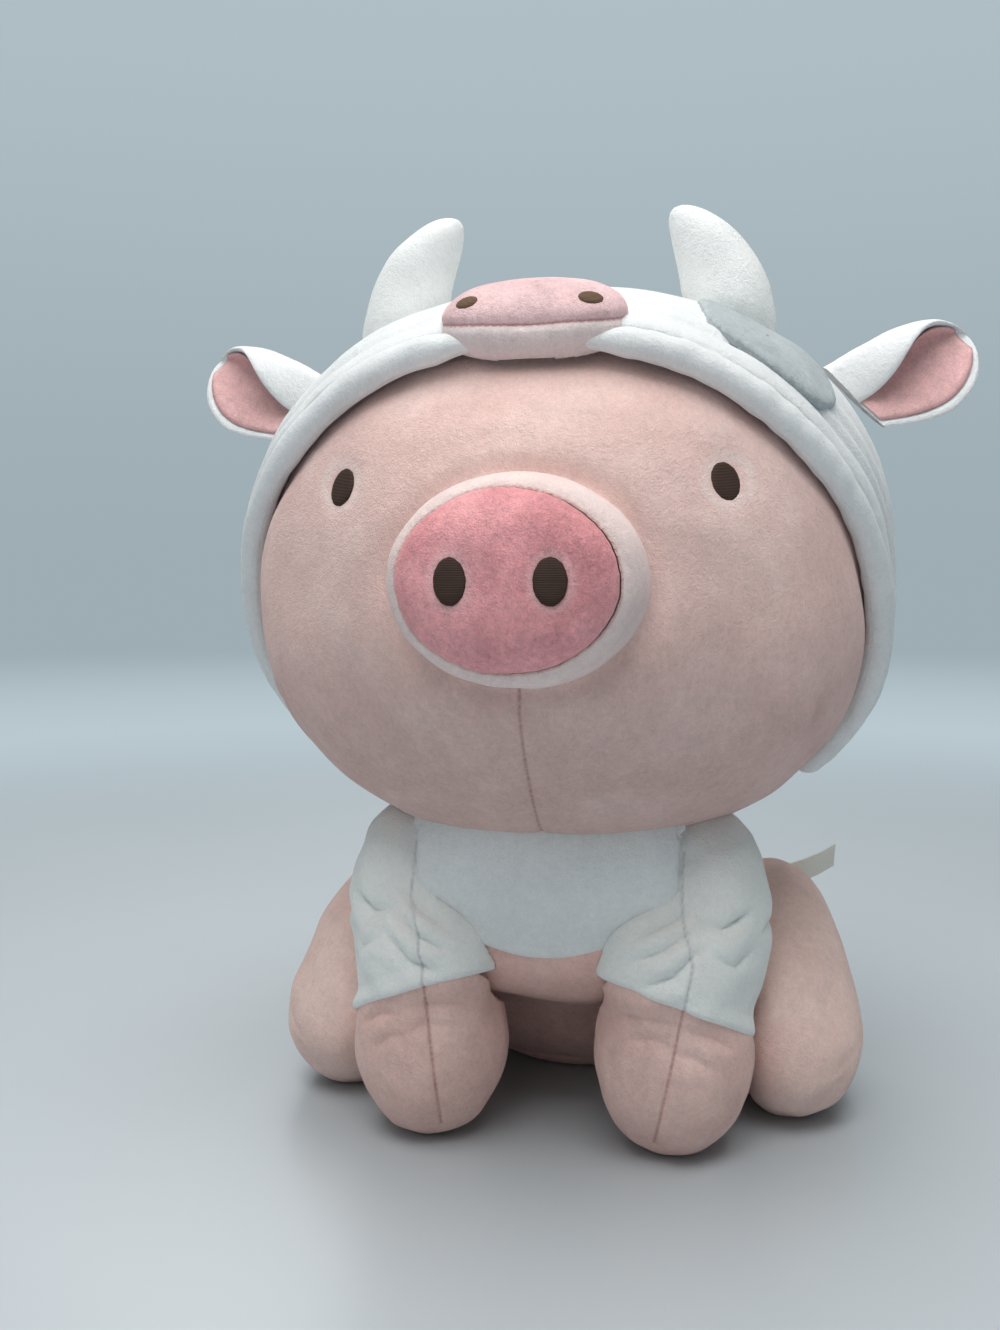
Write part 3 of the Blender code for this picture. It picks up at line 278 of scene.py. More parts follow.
def sewn(name, grid, material, closed=True, span=None, far=NO_SEAM, run=0.0, pale=0.0, inward=None):
    """One smooth piece from a grid of points, or from a span of the grid's columns.

    Its points are marked with how far the seam is and how far along it they are, and with the
    pile's tone: above 0 it is paler, and below 0 it is darkened as painted shade.
    """
    marks = {"far": far, "run": run, "pale": pale}
    marks = {label: np.broadcast_to(values, grid.shape[:2]) for label, values in marks.items()}
    if span is not None:
        closed = False
        kept = slice(span[0], span[1] + 1)
        grid = grid[:, kept]
        marks = {label: values[:, kept] for label, values in marks.items()}
    rows, count = grid.shape[:2]
    index = np.arange(rows * count).reshape(rows, count)
    after = np.roll(index, -1, axis=1)
    faces = np.stack((index[:-1], after[:-1], after[1:], index[1:]), -1)
    if not closed:
        faces = faces[:, :-1]
    faces = faces.reshape(-1, 4)
    flat = grid.reshape(-1, 3)
    inward = flat.mean(0) if inward is None else np.asarray(inward, float)
    cross = np.cross(flat[faces[:, 2]] - flat[faces[:, 0]], flat[faces[:, 3]] - flat[faces[:, 1]])
    if (cross * (flat[faces[:, 0]] - inward)).sum() < 0:
        faces = faces[:, ::-1]
    mesh = bpy.data.meshes.new(name)
    mesh.from_pydata(flat.tolist(), [], faces.tolist())
    for label, values in marks.items():
        mark = mesh.attributes.new(label, "FLOAT", "POINT")
        mark.data.foreach_set("value", values.astype(np.float32).ravel())
    reworked(mesh, lambda bm: bmesh.ops.remove_doubles(bm, verts=bm.verts, dist=0.00001))
    mesh.shade_smooth()
    mesh.materials.append(material)
    piece = bpy.data.objects.new(name, mesh)
    bpy.context.scene.collection.objects.link(piece)
    return piece


def finished(piece, body, nodes):
    """Hang a piece on its body, when one is given, and hide the parts it stands for."""
    if body is not None:
        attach(piece, body)
    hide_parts(*nodes)


class Wire:
    """A value or colour between a material's nodes; sums of values add their Math nodes."""

    def __init__(self, tree, socket=None):
        self.tree = tree
        self.socket = socket

    def feed(self, node, sockets):
        """Give each of a node's sockets a link or a plain value."""
        for name, value in sockets.items():
            socket = node.inputs[name]
            if isinstance(value, Wire):
                self.tree.links.new(value.socket, socket)
            elif socket.type == "RGBA":
                socket.default_value = (*value, 1)
            else:
                socket.default_value = value

    def node(self, kind, settings=None, sockets=None, out=0):
        """Any other node, from its type, its settings and what its sockets get."""
        made = self.tree.nodes.new(kind)
        for name, value in (settings or {}).items():
            setattr(made, name, value)
        self.feed(made, sockets or {})
        return Wire(self.tree, made.outputs[out])

    def sum(self, kind, *values):
        """One Math node."""
        return self.node("ShaderNodeMath", {"operation": kind}, dict(enumerate(values)))

    def __add__(self, other):
        return self.sum("ADD", self, other)

    def __radd__(self, other):
        return self.sum("ADD", other, self)

    def __sub__(self, other):
        return self.sum("SUBTRACT", self, other)

    def __rsub__(self, other):
        return self.sum("SUBTRACT", other, self)

    def __mul__(self, other):
        return self.sum("MULTIPLY", self, other)

    def __rmul__(self, other):
        return self.sum("MULTIPLY", other, self)

    def fade(self, low, high):
        """From 0 at one value to 1 at another, softly."""
        sockets = {"Value": self, "From Min": low, "From Max": high}
        return self.node("ShaderNodeMapRange", {"interpolation_type": "SMOOTHSTEP"}, sockets)

    def mix(self, first, second):
        """Two colours mixed by this value."""
        return self.node("ShaderNodeMix", {"data_type": "RGBA"}, {0: self, 6: first, 7: second}, 2)

    def shaded(self, colour):
        """A colour made lighter or darker by this value."""
        return self.node("ShaderNodeVectorMath", {"operation": "SCALE"}, {0: colour, "Scale": self})

    def bump(self, strength, distance):
        """A relief with this value as its height."""
        sockets = {"Strength": strength, "Distance": distance, "Height": self}
        return self.node("ShaderNodeBump", None, sockets)

    def noise(self, scale, detail=2.0, roughness=0.5, stretch=(1, 1, 1)):
        """Noise over the piece, so many grains to a metre, drawn out where it is brushed."""
        place = self.node("ShaderNodeTexCoord", out="Object")
        place = self.node("ShaderNodeMapping", None, {"Vector": place, "Scale": stretch})
        sockets = {"Vector": place, "Scale": scale, "Detail": detail, "Roughness": roughness}
        return self.node("ShaderNodeTexNoise", None, sockets)

    def mark(self, name):
        """What was marked on each point of the piece."""
        return self.node("ShaderNodeAttribute", {"attribute_name": name}, out="Fac")


def new_material(name):
    """A new material, its shader, and a wire to build it with."""
    material = bpy.data.materials.new(name)
    material.use_nodes = True
    return material, material.node_tree.nodes["Principled BSDF"], Wire(material.node_tree)


def velour(name, colour, seam_line_and_shadow, pale, nap=0.30, mottle=0.20):
    """Short cut pile: grain, brushed patches, a sewn line with its small stitches, a soft sheen; seams and
    marked places carry painted shade.
    """
    material, shader, wire = new_material(name)
    patches = wire.noise(34, 4, 0.62)
    strokes = wire.noise(150, 3, 0.6, (1, 1, 0.8))
    tufts = wire.noise(520, 3, 0.7)
    grain = wire.noise(1700, 2, 0.6)
    far = wire.mark("far")
    paleness_and_painted_shade = wire.mark("pale")
    sewn_line = 1 - far.fade(0.0001, 0.0011)
    stitch = wire.sum("SINE", wire.mark("run") * (2 * math.pi / STITCH)).fade(-0.5, 0.5)
    stitches = (1 - far.fade(0.0001, 0.0008)) * stitch
    base = (patches.fade(0.40, 0.68) * 0.28).mix(colour, pale)
    # Along a seam the colour goes toward a darker one: partly the seam's own line, partly painted shadow in
    # its fold.
    base = paleness_and_painted_shade.mix((sewn_line * 0.55).mix(base, seam_line_and_shadow), pale)
    shade = 1 + (patches - 0.5) * mottle + (strokes - 0.5) * mottle
    # Where the pale mark is below 0 it darkens the colour: painted shade.
    shade = shade + (tufts - 0.5) * nap + (grain - 0.5) * nap + wire.sum("MINIMUM", paleness_and_painted_shade, 0.0)
    height = tufts * 0.7 + grain * 0.5 + strokes * 0.4 - sewn_line * 0.35 + stitches * 0.4
    wire.feed(shader, {
        "Base Color": (shade - stitches * 0.10).shaded(base),
        "Roughness": 0.84 + patches * 0.16,
        "Normal": height.bump(0.75, 0.0009),
        "Specular IOR Level": 0.12,
        "Sheen Weight": 0.30,
        "Sheen Roughness": 0.5,
        "Sheen Tint": pale,
    })
    return material


head_ball = Ball(HEAD_MIDDLE, (HEAD_RADIUS, HEAD_RADIUS, HEAD_RISE), CHEEKY, HEAD_DROP, "z")
head = Form([head_ball], FRONT, UP)
snout = Form([Ball(SNOUT_MIDDLE, SNOUT_HALVES, SNOUT_BOXY, turned="y")], FRONT, UP)


def head_front(across, rise):
    """The place on the front of the head at an offset sideways and up."""
    ahead = -math.sqrt(HEAD_RADIUS**2 - across**2 - rise**2)
    direction = unit((across, ahead, rise))
    return np.array(HEAD_MIDDLE) + direction * head.reach(direction[None])[0]


def hood_edge(around):
    """Angle from the front at which the hood's front edge crosses the face."""
    place = apart(around) / 180 * (len(HEM_ANGLES) - 1)
    low = np.minimum(np.floor(place).astype(int), len(HEM_ANGLES) - 2)
    before = HEM_ANGLES[np.abs(low - 1)]
    start, end = HEM_ANGLES[low], HEM_ANGLES[low + 1]
    after = HEM_ANGLES[np.minimum(low + 2, len(HEM_ANGLES) - 1)]
    blend = place - low
    rise = (end - before) / 2
    fall = (after - start) / 2
    swell = 3 * (end - start) - 2 * rise - fall
    curve = rise + fall - 2 * (end - start)
    return start + rise * blend + swell * blend**2 + curve * blend**3


def cheek_swell(around, tilt):
    """How the stuffed face stands out between its middle and the hood's edge."""
    room = eased((hood_edge(around) - 0.5 - tilt) / 7)
    low = np.clip((apart(around) - 20) / 50, 0, 1)
    return (0.0019 + 0.0034 * room) * eased((tilt - 36) / 24) * (0.3 + 0.7 * low)


pink_velour = velour("pink_velour_face", PINK, PINK_SEAM_LINE_AND_SHADOW, PINK_PALE)
head_turns = np.linspace(-90, 270, 289)[:-1]
tilt = np.linspace(12, 101, 128)[:, None]
surface = head.point(head_turns, tilt)
far, run = nearest_seam(surface, [head.line([(-90, 14), (-90, BACK_SEAM)])])
relief = 0.0007 * lumps(surface, 0.060, 3) + 0.00030 * lumps(surface, 0.021, 5)
relief += drawn_in(far, run, depth=0.0007, width=0.0010, valley=0.0009, spread=0.008, pull=0.0002)
pressed = np.zeros(far.shape)
for side in (1, -1):
    dart = head.line([(90 - side * 110, 59), (90 - side * 116, 62.5)])
    relief += creased(surface, [(dart, 0.0022, 0.0026)])
    eye = head_front(side * EYE_ASIDE, EYE_RISE)
    relief -= 0.0016 * bell(np.linalg.norm(surface - eye, axis=-1), 0.0105)
    pressed = np.maximum(pressed, halo(surface, eye, EYE_HALVES, 0.001, 0.22) * (surface[..., 1] < -0.1))
relief -= 0.0024 * bell(snout.gauge(surface) - 1.04, 0.13)
brow = np.clip((surface[..., 2] - 0.235) / 0.02, 0, 1)
relief += 0.00010 * brow * np.sin(surface[..., 2] * 480 + 2 * lumps(surface, 0.05, 8))
relief += cheek_swell(head_turns, tilt)
# Below the snout's height the pale mark goes negative: painted shade, darker down to the chin.
pale = 0.75 * pressed - 0.20 * eased((0.205 - surface[..., 2]) / 0.075)
grid = head.raised(surface, relief)
face = sewn("face", grid, pink_velour, far=far, run=run, pale=pale, inward=HEAD_MIDDLE)
finished(face, "head", ["face_panel", "head_stuffing"])


# The back of the head: a second pink panel, sewn to the face under the hood's edge.
# Only its lower part shows, where the throat runs in over the collar.
surface = head.point(head_turns, np.linspace(BACK_SEAM, 180, 60)[:, None], 0.0002)
far, run = nearest_seam(surface, [head.line([(-90, BACK_SEAM), (90, BACK_SEAM), (270, BACK_SEAM)])])
back_grid = head.raised(surface, 0.0006 * lumps(surface, 0.05, 11) + drawn_in(far, run, depth=0.0008))
head_back = sewn("head_back", back_grid, pink_velour, far=far, run=run, inward=HEAD_MIDDLE)
finished(head_back, "head", ["head_back_panel"])


# The snout: a soft stuffed drum. A rose pad closes its front, and a paler wall runs round it
# and back to the face, with the seam between them pulled tight.
ROSE = (0.79, 0.34, 0.36)
# The deep rose darkens the seams: partly the seams' own line, partly painted shadow in their folds.
ROSE_SEAM_LINE_AND_SHADOW = (0.42, 0.10, 0.11)
ROSE_PALE = (0.86, 0.50, 0.51)
WALL_PINK = (0.86, 0.70, 0.67)
NOSTRIL_ASIDE = 0.015
NOSTRIL_HALVES = (0.0050, 0.0070)
RIM_SHARE = 0.87
WALL_END = 116


def snout_rim(around):
    """Angle from the snout's middle of the seam between the pad and the wall."""
    turn = np.radians(around)
    outline = 1 / np.hypot(np.cos(turn) / SNOUT_HALVES[0], np.sin(turn) / SNOUT_HALVES[2])
    ahead = SNOUT_HALVES[1] * (1 - RIM_SHARE**SNOUT_BOXY) ** (1 / SNOUT_BOXY)
    return np.degrees(np.arctan2(outline * RIM_SHARE, ahead))


def snout_relief(points, far, run):
    """The drum's fabric: the tight rim seam and the sunk nostrils."""
    relief = drawn_in(far, run, depth=0.0013, width=0.0014, valley=0.0007, spread=0.004, pull=0.00012)
    relief += 0.00035 * lumps(points, 0.020, 17)
    for side in (1, -1):
        across = (points[..., 0] - side * NOSTRIL_ASIDE) / 0.0085
        reach = np.hypot(across, (points[..., 2] - SNOUT_MIDDLE[2]) / 0.0108)
        relief -= 0.0015 * np.exp(-(reach**2.6)) * (points[..., 1] < -0.175)
    return relief


rose_velour = velour("rose_velour_snout", ROSE, ROSE_SEAM_LINE_AND_SHADOW, ROSE_PALE, nap=0.62, mottle=0.55)
wall_velour = velour("pale_pink_velour_wall", WALL_PINK, PINK_SEAM_LINE_AND_SHADOW, (0.92, 0.80, 0.78))
snout_turns = np.linspace(-90, 270, 181)
rim_seam = snout.point(snout_turns, snout_rim(snout_turns))
snout_turns = snout_turns[:-1]
rim = snout_rim(snout_turns)
surface = snout.point(snout_turns, np.linspace(0, 1, 56)[:, None] * rim)
far, run = nearest_seam(surface, [rim_seam])
pressed = np.zeros(far.shape)
for side in (1, -1):
    nostril = (side * NOSTRIL_ASIDE, 0, SNOUT_MIDDLE[2])
    pressed = np.maximum(pressed, halo(surface, nostril, NOSTRIL_HALVES, 0.0009, 0.2))
pad_grid = snout.raised(surface, snout_relief(surface, far, run))
pale = 0.7 * pressed
snout_pad = sewn("snout_front", pad_grid, rose_velour, far=far, run=run, pale=pale, inward=snout.core)
finished(snout_pad, "head", ["snout_pad", "snout_stuffing"])

surface = snout.point(snout_turns, rim + (WALL_END - rim) * np.linspace(0, 1, 44)[:, None] ** 0.9)
under_seam = snout.line([(-90, 60), (-90, WALL_END)])
far, run = nearest_seam(surface, [rim_seam, under_seam])
wall_grid = snout.raised(surface, snout_relief(surface, far, run) + 0.0004)
snout_wall = sewn("snout_wall", wall_grid, wall_velour, far=far, run=run, inward=snout.core)
finished(snout_wall, "head", ["snout_wall_panel"])


# Eyes and nostrils: ovals of dense dark brown satin stitch, worked in level rows.
# The rows stand a little proud in the middle and pull the pile down round their edge.
THREAD = (0.030, 0.014, 0.009)
THREAD_ROW = 0.00048
SIDES = ((1, "left"), (-1, "right"))


def thread(name, colour, light):
    """Satin stitch: level rows of shiny thread, painted lighter on each row's crown as painted highlight and
    darker in the groove below it as painted shade.
    """
    material, shader, wire = new_material(name)
    place = wire.node("ShaderNodeTexCoord", out="Object")
    level = wire.node("ShaderNodeSeparateXYZ", None, {"Vector": place}, out="Z")
    wander = wire.noise(420) * 1.6
    ridge = wire.sum("SINE", level * (2 * math.pi / THREAD_ROW) + wander) * 0.5 + 0.5
    fibres = wire.noise(2600, 2, 0.6, (0.25, 1, 1))
    wire.feed(shader, {
        # Painted highlight on the crowns of the rows, and painted shade in the grooves between them.
        "Base Color": (ridge * (0.35 + fibres * 0.6)).mix(colour, light),
        "Roughness": 0.55 + fibres * 0.2,
        "Normal": (ridge * 0.8 + fibres * 0.3).bump(0.7, 0.0003),
        "Specular IOR Level": 0.25,
    })
    return material


def stitched_oval(name, place, outward, halves, rise, material):
    """A low dome of stitches on a surface, its edge sunk into the pile."""
    outward = unit(outward)
    sideways = unit(np.cross(UP, outward))
    upright = np.cross(outward, sideways)
    reach = np.concatenate((np.linspace(0, 0.94, 14), (0.98, 1.0, 1.0)))[:, None]
    turn = np.radians(np.linspace(0, 360, 65)[:-1])[None]
    edge = 1 + 0.008 * np.sin(turn * 9 + 1) + 0.008 * np.sin(turn * 17)
    sheet = (reach * edge * np.cos(turn))[..., None] * sideways * halves[0]
    sheet = sheet + (reach * edge * np.sin(turn))[..., None] * upright * halves[1]
    dome = rise * np.sqrt(np.clip(1 - reach**4, 0, 1)) * np.ones(turn.shape)
    dome[-1] -= 0.0022
    return sewn(name, place + sheet + dome[..., None] * outward, material, inward=place - outward * 0.05)


dark_thread = thread("dark_brown_thread_rows", THREAD, (0.085, 0.045, 0.030))
nostril_tilt = math.degrees(math.atan2(NOSTRIL_ASIDE, SNOUT_HALVES[1]))
for side, word in SIDES:
    place = head_front(side * EYE_ASIDE, EYE_RISE)
    outward = head.normal(place[None])[0]
    name = f"eye_stitching_{word}"
    oval = stitched_oval(name, place - outward * 0.0016, outward, EYE_HALVES, 0.0012, dark_thread)
    finished(oval, "head", [f"eye_{word}"])
    place = snout.point([0.0 if side > 0 else 180.0], [nostril_tilt])[0]
    outward = snout.normal(place[None])[0]
    name = f"nostril_stitching_{word}"
    oval = stitched_oval(name, place - outward * 0.0015, outward, NOSTRIL_HALVES, 0.0012, dark_thread)
    finished(oval, "head", [f"nostril_{word}"])


# The hood: white velour outside, a thin padding and a white lining, let out a little over the head.
# Two outer panels meet over the crown, and its front is turned back on itself in soft folds.
EASE_BACK = 0.0026
EASE_FRONT = 0.0032
HOOD_LAYERS = 0.0082
HOOD_BOTTOM = 0.134
HEM_ROLL = 0.0050
WHITE = (0.82, 0.84, 0.845)
# The deep white darkens the seams: partly the seams' own line, partly painted shadow in their folds.
WHITE_SEAM_LINE_AND_SHADOW = (0.62, 0.63, 0.66)
WHITE_PALE = (0.88, 0.895, 0.90)
HOOD_FOLDS = ((0.0110, 0.0028, 0.0021), (0.0205, 0.0020, 0.0024), (0.033, 0.0012, 0.0032))


class Hood(Form):
    """The head's form let out by the hood's ease and its layers."""

    def point(self, around, tilt, depth=0.0):
        """The place at two angles, some depth inside the hood's outside."""
        around, tilt, depth = np.broadcast_arrays(np.asarray(around, float), tilt, depth)
        past = np.clip((tilt - hood_edge(around)) / 45, 0, 1)
        ease = EASE_BACK + (EASE_FRONT - EASE_BACK) * (1 - past) ** 2
        directions = self.direction(around, tilt)
        return self.core + directions * self.reach(directions, ease + HOOD_LAYERS - depth)[..., None]

    def edge(self, around):
        """Angle where the layers start: just behind the hem roll, or at the hood's level bottom."""
        hem = hood_edge(around)
        middle = self.point(around, hem, HOOD_LAYERS / 2)
        climb = (hood_edge(around + 1) - hood_edge(around - 1)) / 2 / np.sin(np.radians(hem))
        room = np.degrees((HEM_ROLL - 0.0012) / np.linalg.norm(middle - self.core, axis=-1))
        start = hem + room * np.hypot(1, climb)
        tilts = np.linspace(60, 180, 241)
        heights = self.point(around[:, None], tilts)[..., 2]
        low = np.where(heights < HOOD_BOTTOM, np.arange(len(tilts)), -1).max(1)
        return np.where(low >= 0, np.maximum(start, tilts[low] + 0.25), start)


def hood_swell(points):
    """The uneven padding, which the hood and the patch on it share."""
    return 0.0008 * lumps(points, 0.055, 23) + 0.0003 * lumps(points, 0.022, 29)


hood = Hood([head_ball], FRONT, UP)
white_velour = velour("white_velour_hood", WHITE, WHITE_SEAM_LINE_AND_SHADOW, WHITE_PALE, nap=0.16, mottle=0.09)
columns = np.linspace(-90, 270, 289)
edge = hood.edge(columns)
shares = np.concatenate((np.zeros(5), np.linspace(0, 1, 112)[1:] ** 1.15))[:, None]
depth = np.concatenate(((0.0075, 0.0055, 0.0034, 0.0014, 0.0004), np.zeros(111)))[:, None]
rows = edge + (180 - edge) * shares
surface = hood.point(columns, rows, depth)
behind = (rows - edge) * np.radians(1) * 0.118
crown_seam = hood.line([(90, 44), (90, 180)])
nape_seam = hood.line([(-90, 120), (-90, 180)])
far, run = nearest_seam(surface, [crown_seam, nape_seam])
folded = np.clip((apart(columns) - 20) / 25, 0, 1) * (columns % 360 < 200)
relief = hood_swell(surface) + drawn_in(far, run, depth=0.0011, valley=0.0009)
wander = 0.0016 * lumps(surface, 0.07, 31)
for place, drop, breadth in HOOD_FOLDS:
    relief -= drop * bell(behind - place - wander, breadth) * folded
relief -= 0.0008 * bell(behind, 0.002)
grid = hood.raised(surface, relief)
top = len(columns) // 2
for word, first in (("left", 0), ("right", top)):
    span = (first, first + top)
    nodes = [f"hood_{word}_panel"] + (["hood_padding"] if word == "left" else [])
    shell = sewn(f"hood_shell_{word}", grid, white_velour, span=span, far=far, run=run, inward=HEAD_MIDDLE)
    finished(shell, "head", nodes)

# The lining: one layer of white velour inside the padding, stretched round the head.
# It shows only as a shaded edge between the hem and the forehead.
rows = edge + (180 - edge) * np.linspace(0, 1, 50)[:, None]
surface = hood.point(columns, rows, HOOD_LAYERS - 0.0003)
lining = sewn("hood_inside", surface, white_velour, closed=False, inward=HEAD_MIDDLE)
finished(lining, "head", ["hood_lining"])


# The hem: the hood's front edge rolled over its padding, with its seam hidden behind the roll.
# It is pinched thinner under the cow muzzle and tapers off at the hood's level bottom.
HEM_SEAM = 250


def turned_out(piece):
    """Turn every face of a closed piece outward."""
    reworked(piece.data, lambda bm: bmesh.ops.recalc_face_normals(bm, faces=bm.faces))


hem_turns = np.linspace(-90, 270, 361)[:-1]
spine = hood.point(hem_turns, hood_edge(hem_turns), HOOD_LAYERS / 2)
spine = spine[spine[:, 2] > HOOD_BOTTOM - 0.002]
outward = unit(spine - np.array(HEAD_MIDDLE))
ahead = unit(np.gradient(spine, axis=0))
sideways = unit(np.cross(ahead, outward))
outward = np.cross(sideways, ahead)
ring = np.linspace(0, 360, 33)[:-1]
turn = np.radians(ring)[:, None, None]
run = lengths(spine)
taper = np.clip(np.minimum(run, run[-1] - run) / 0.006, 0, 1) ** 0.5
pinched = np.clip((np.abs(spine[:, 0]) - 0.020) / 0.012, 0, 1)
thick = HEM_ROLL * (1.00 + 0.07 * lumps(spine, 0.05, 37)) * taper * (0.62 + 0.38 * pinched)
roll = np.cos(turn) * outward * 0.98 + np.sin(turn) * sideways * 1.08
tube = spine + roll * thick[None, :, None]
tube = tube + roll * (0.00025 * lumps(tube, 0.012, 41))[..., None]
far = apart(ring, HEM_SEAM) * np.radians(1) * HEM_ROLL + 0.0004
hem_grid = np.swapaxes(tube, 0, 1)
hem = sewn("hood_hem", hem_grid, white_velour, far=far, run=run[:, None], inward=HEAD_MIDDLE)
turned_out(hem)
finished(hem, "head", ["hood_hem_roll"])


# The grey patch: one layer of grey velour sewn on the hood's left side, below the horn.
# Its edge is oversewn in grey, so the pile stands up along it.
PATCH_SHARES = (0.69, 0.95, 1.22, 1.07, 0.74, 0.66, 0.98, 1.03, 0.86, 0.75, 0.81, 0.7)
PATCH_AROUND = 48
PATCH_TILT = 66
PATCH_REACH = 0.034
GREY = (0.42, 0.465, 0.48)
grey_velour = velour("grey_velour_patch", GREY, (0.33, 0.37, 0.39), (0.54, 0.585, 0.60), nap=0.5, mottle=0.3)
turns = np.linspace(0, 360, 145)[:-1]
turn = np.radians(turns)
outline = np.interp(turns, np.linspace(0, 360, 13), PATCH_SHARES + PATCH_SHARES[:1])
window = np.arange(-7, 8)
smooth = np.array([outline[(window + here) % len(turns)].mean() for here in range(len(turns))])
shares = np.concatenate((np.linspace(0.02, 0.985, 34), (1.0, 1.0)))[:, None]
ragged = 1 + 0.006 * np.sin(turn * 31) + 0.005 * np.sin(turn * 53)
reach = math.degrees(PATCH_REACH / HEAD_RADIUS) * shares * smooth * ragged
height = np.concatenate((np.full(31, 0.0017), (0.0016, 0.0014, 0.0010, 0.0003, -0.0012)))[:, None]
surface = hood.point(PATCH_AROUND + reach * np.cos(turn), PATCH_TILT + reach * 0.75 * np.sin(turn), -height)
surface = hood.raised(surface, hood_swell(surface))
far = np.concatenate((np.linspace(0.03, 0.0006, 34), (0.0, 0.0)))[:, None] + 0.0007
patch = sewn("patch_on_hood", surface, grey_velour, far=far, run=turns * 0.0006, inward=HEAD_MIDDLE)
finished(patch, "head", ["grey_patch"])


# The small cow muzzle on the hood's front edge: a stuffed rose pillow with a paler underside.
# Its two nostrils are short bars of golden brown stitching.
MUZZLE_HALVES = (0.031, 0.019, 0.012)
MUZZLE_ROSE = (0.80, 0.55, 0.56)
MUZZLE_PALE = (0.88, 0.70, 0.70)
MUZZLE_UNDER = (0.80, 0.68, 0.67)
MUZZLE_UNDER_PALE = (0.88, 0.76, 0.75)
MUZZLE_TILT = 47.5
MUZZLE_SUNK = 0.0040
MUZZLE_SHALLOW = 0.94
LIP_SEAM = 161
BACK_OF_MUZZLE = -30
COW_NOSTRIL_ASIDE = 0.0200
COW_NOSTRIL_HALVES = (0.0041, 0.0031)
muzzle = Form([Ball((0, 0, 0), MUZZLE_HALVES, CHEEKY)], (1, 0, 0), UP)
muzzle_root = hood.point([90.0], [MUZZLE_TILT], [MUZZLE_SUNK])[0]
muzzle_normal = hood.normal(hood.point([90.0], [MUZZLE_TILT]))[0]
muzzle_turn = np.array(Vector(UP).rotation_difference(Vector(muzzle_normal)).to_matrix())


def on_hood(points):
    """Points of the flat muzzle, shallower towards the hem, moved to where it is sewn on."""
    shallow = np.where(points[..., 1] < 0, MUZZLE_SHALLOW, 1.0)
    flat = np.stack((points[..., 0], points[..., 1] * shallow, points[..., 2]), -1)
    return muzzle_root + flat @ muzzle_turn.T


def cut_away(piece, form, grow):
    """Cut off the points of a piece that lie inside a form, once the form is let out."""
    def cut(bm):
        inside = form.gauge(np.array([point.co for point in bm.verts]), grow) < 1
        buried = [point for point, hidden in zip(bm.verts, inside) if hidden]
        bmesh.ops.delete(bm, geom=buried, context="VERTS")

    reworked(piece.data, cut)


muzzle_velour = velour("rose_velour_muzzle", MUZZLE_ROSE, ROSE_SEAM_LINE_AND_SHADOW, MUZZLE_PALE, nap=0.55, mottle=0.45)
under_velour = velour("pale_pink_velour_muzzle", MUZZLE_UNDER, PINK_SEAM_LINE_AND_SHADOW, MUZZLE_UNDER_PALE)
pole_rows = np.linspace(1, 179, 100)
seams = [muzzle.line([(around, 4), (around, 176)]) for around in (LIP_SEAM, BACK_OF_MUZZLE)]
dimple = muzzle.point([160.0], [90.0])[0]
for name, (low, high), stuff, slot, nodes in (
    ("muzzle_top", (BACK_OF_MUZZLE, LIP_SEAM),
     muzzle_velour, "rose_velour", ["cow_muzzle_pad", "cow_muzzle_stuffing"]),
    ("muzzle_underside", (LIP_SEAM, 360 + BACK_OF_MUZZLE),
     under_velour, "pale_pink_velour", ["cow_muzzle_underside"]),
):
    surface = muzzle.point(np.linspace(low, high, 60)[:, None], pole_rows)
    far, run = nearest_seam(surface, seams)
    relief = drawn_in(far, run, depth=0.0008, valley=0.0005, spread=0.003, pull=0.00012)
    relief += 0.0003 * lumps(surface, 0.015, 43)
    relief -= 0.0022 * bell(np.linalg.norm(surface - dimple, axis=-1), 0.009)
    grid = on_hood(muzzle.raised(surface, relief))
    piece = sewn(name, grid, stuff, closed=False, far=far, run=run, inward=muzzle_root)
    cut_away(piece, hood, EASE_FRONT - 0.001)
    finished(piece, "head", nodes)

amber_thread = thread("amber_brown_thread_rows", (0.070, 0.036, 0.018), (0.26, 0.15, 0.08))
nostril_line = muzzle.point(124.0, np.linspace(2, 178, 353))
for side, word in SIDES:
    index = int(np.abs(nostril_line[:, 0] - side * COW_NOSTRIL_ASIDE).argmin())
    flat_place = nostril_line[[index]]
    outward = muzzle.normal(flat_place)[0] @ muzzle_turn.T
    place = on_hood(flat_place)[0] - outward * 0.0003
    name = f"cow_nostril_stitching_{word}"
    oval = stitched_oval(name, place, outward, COW_NOSTRIL_HALVES, 0.0009, amber_thread)
    finished(oval, "head", [f"cow_nostril_{word}"])


# The horns: two stuffed white cones with blunt tips that bend in towards each other.
# Each is sewn shut round its foot, so the fabric gathers there.
HORN_RADIUS = 0.0190
HORN_HEIGHT = 0.041
HORN_LEAN = 0.017
HORN_TAPER = 0.34
HORN_FOOT = ([58.0], [86.0])


def mirrored(grid, side):
    """A left-hand grid, on the side asked for."""
    return grid * np.array((side, 1, 1))


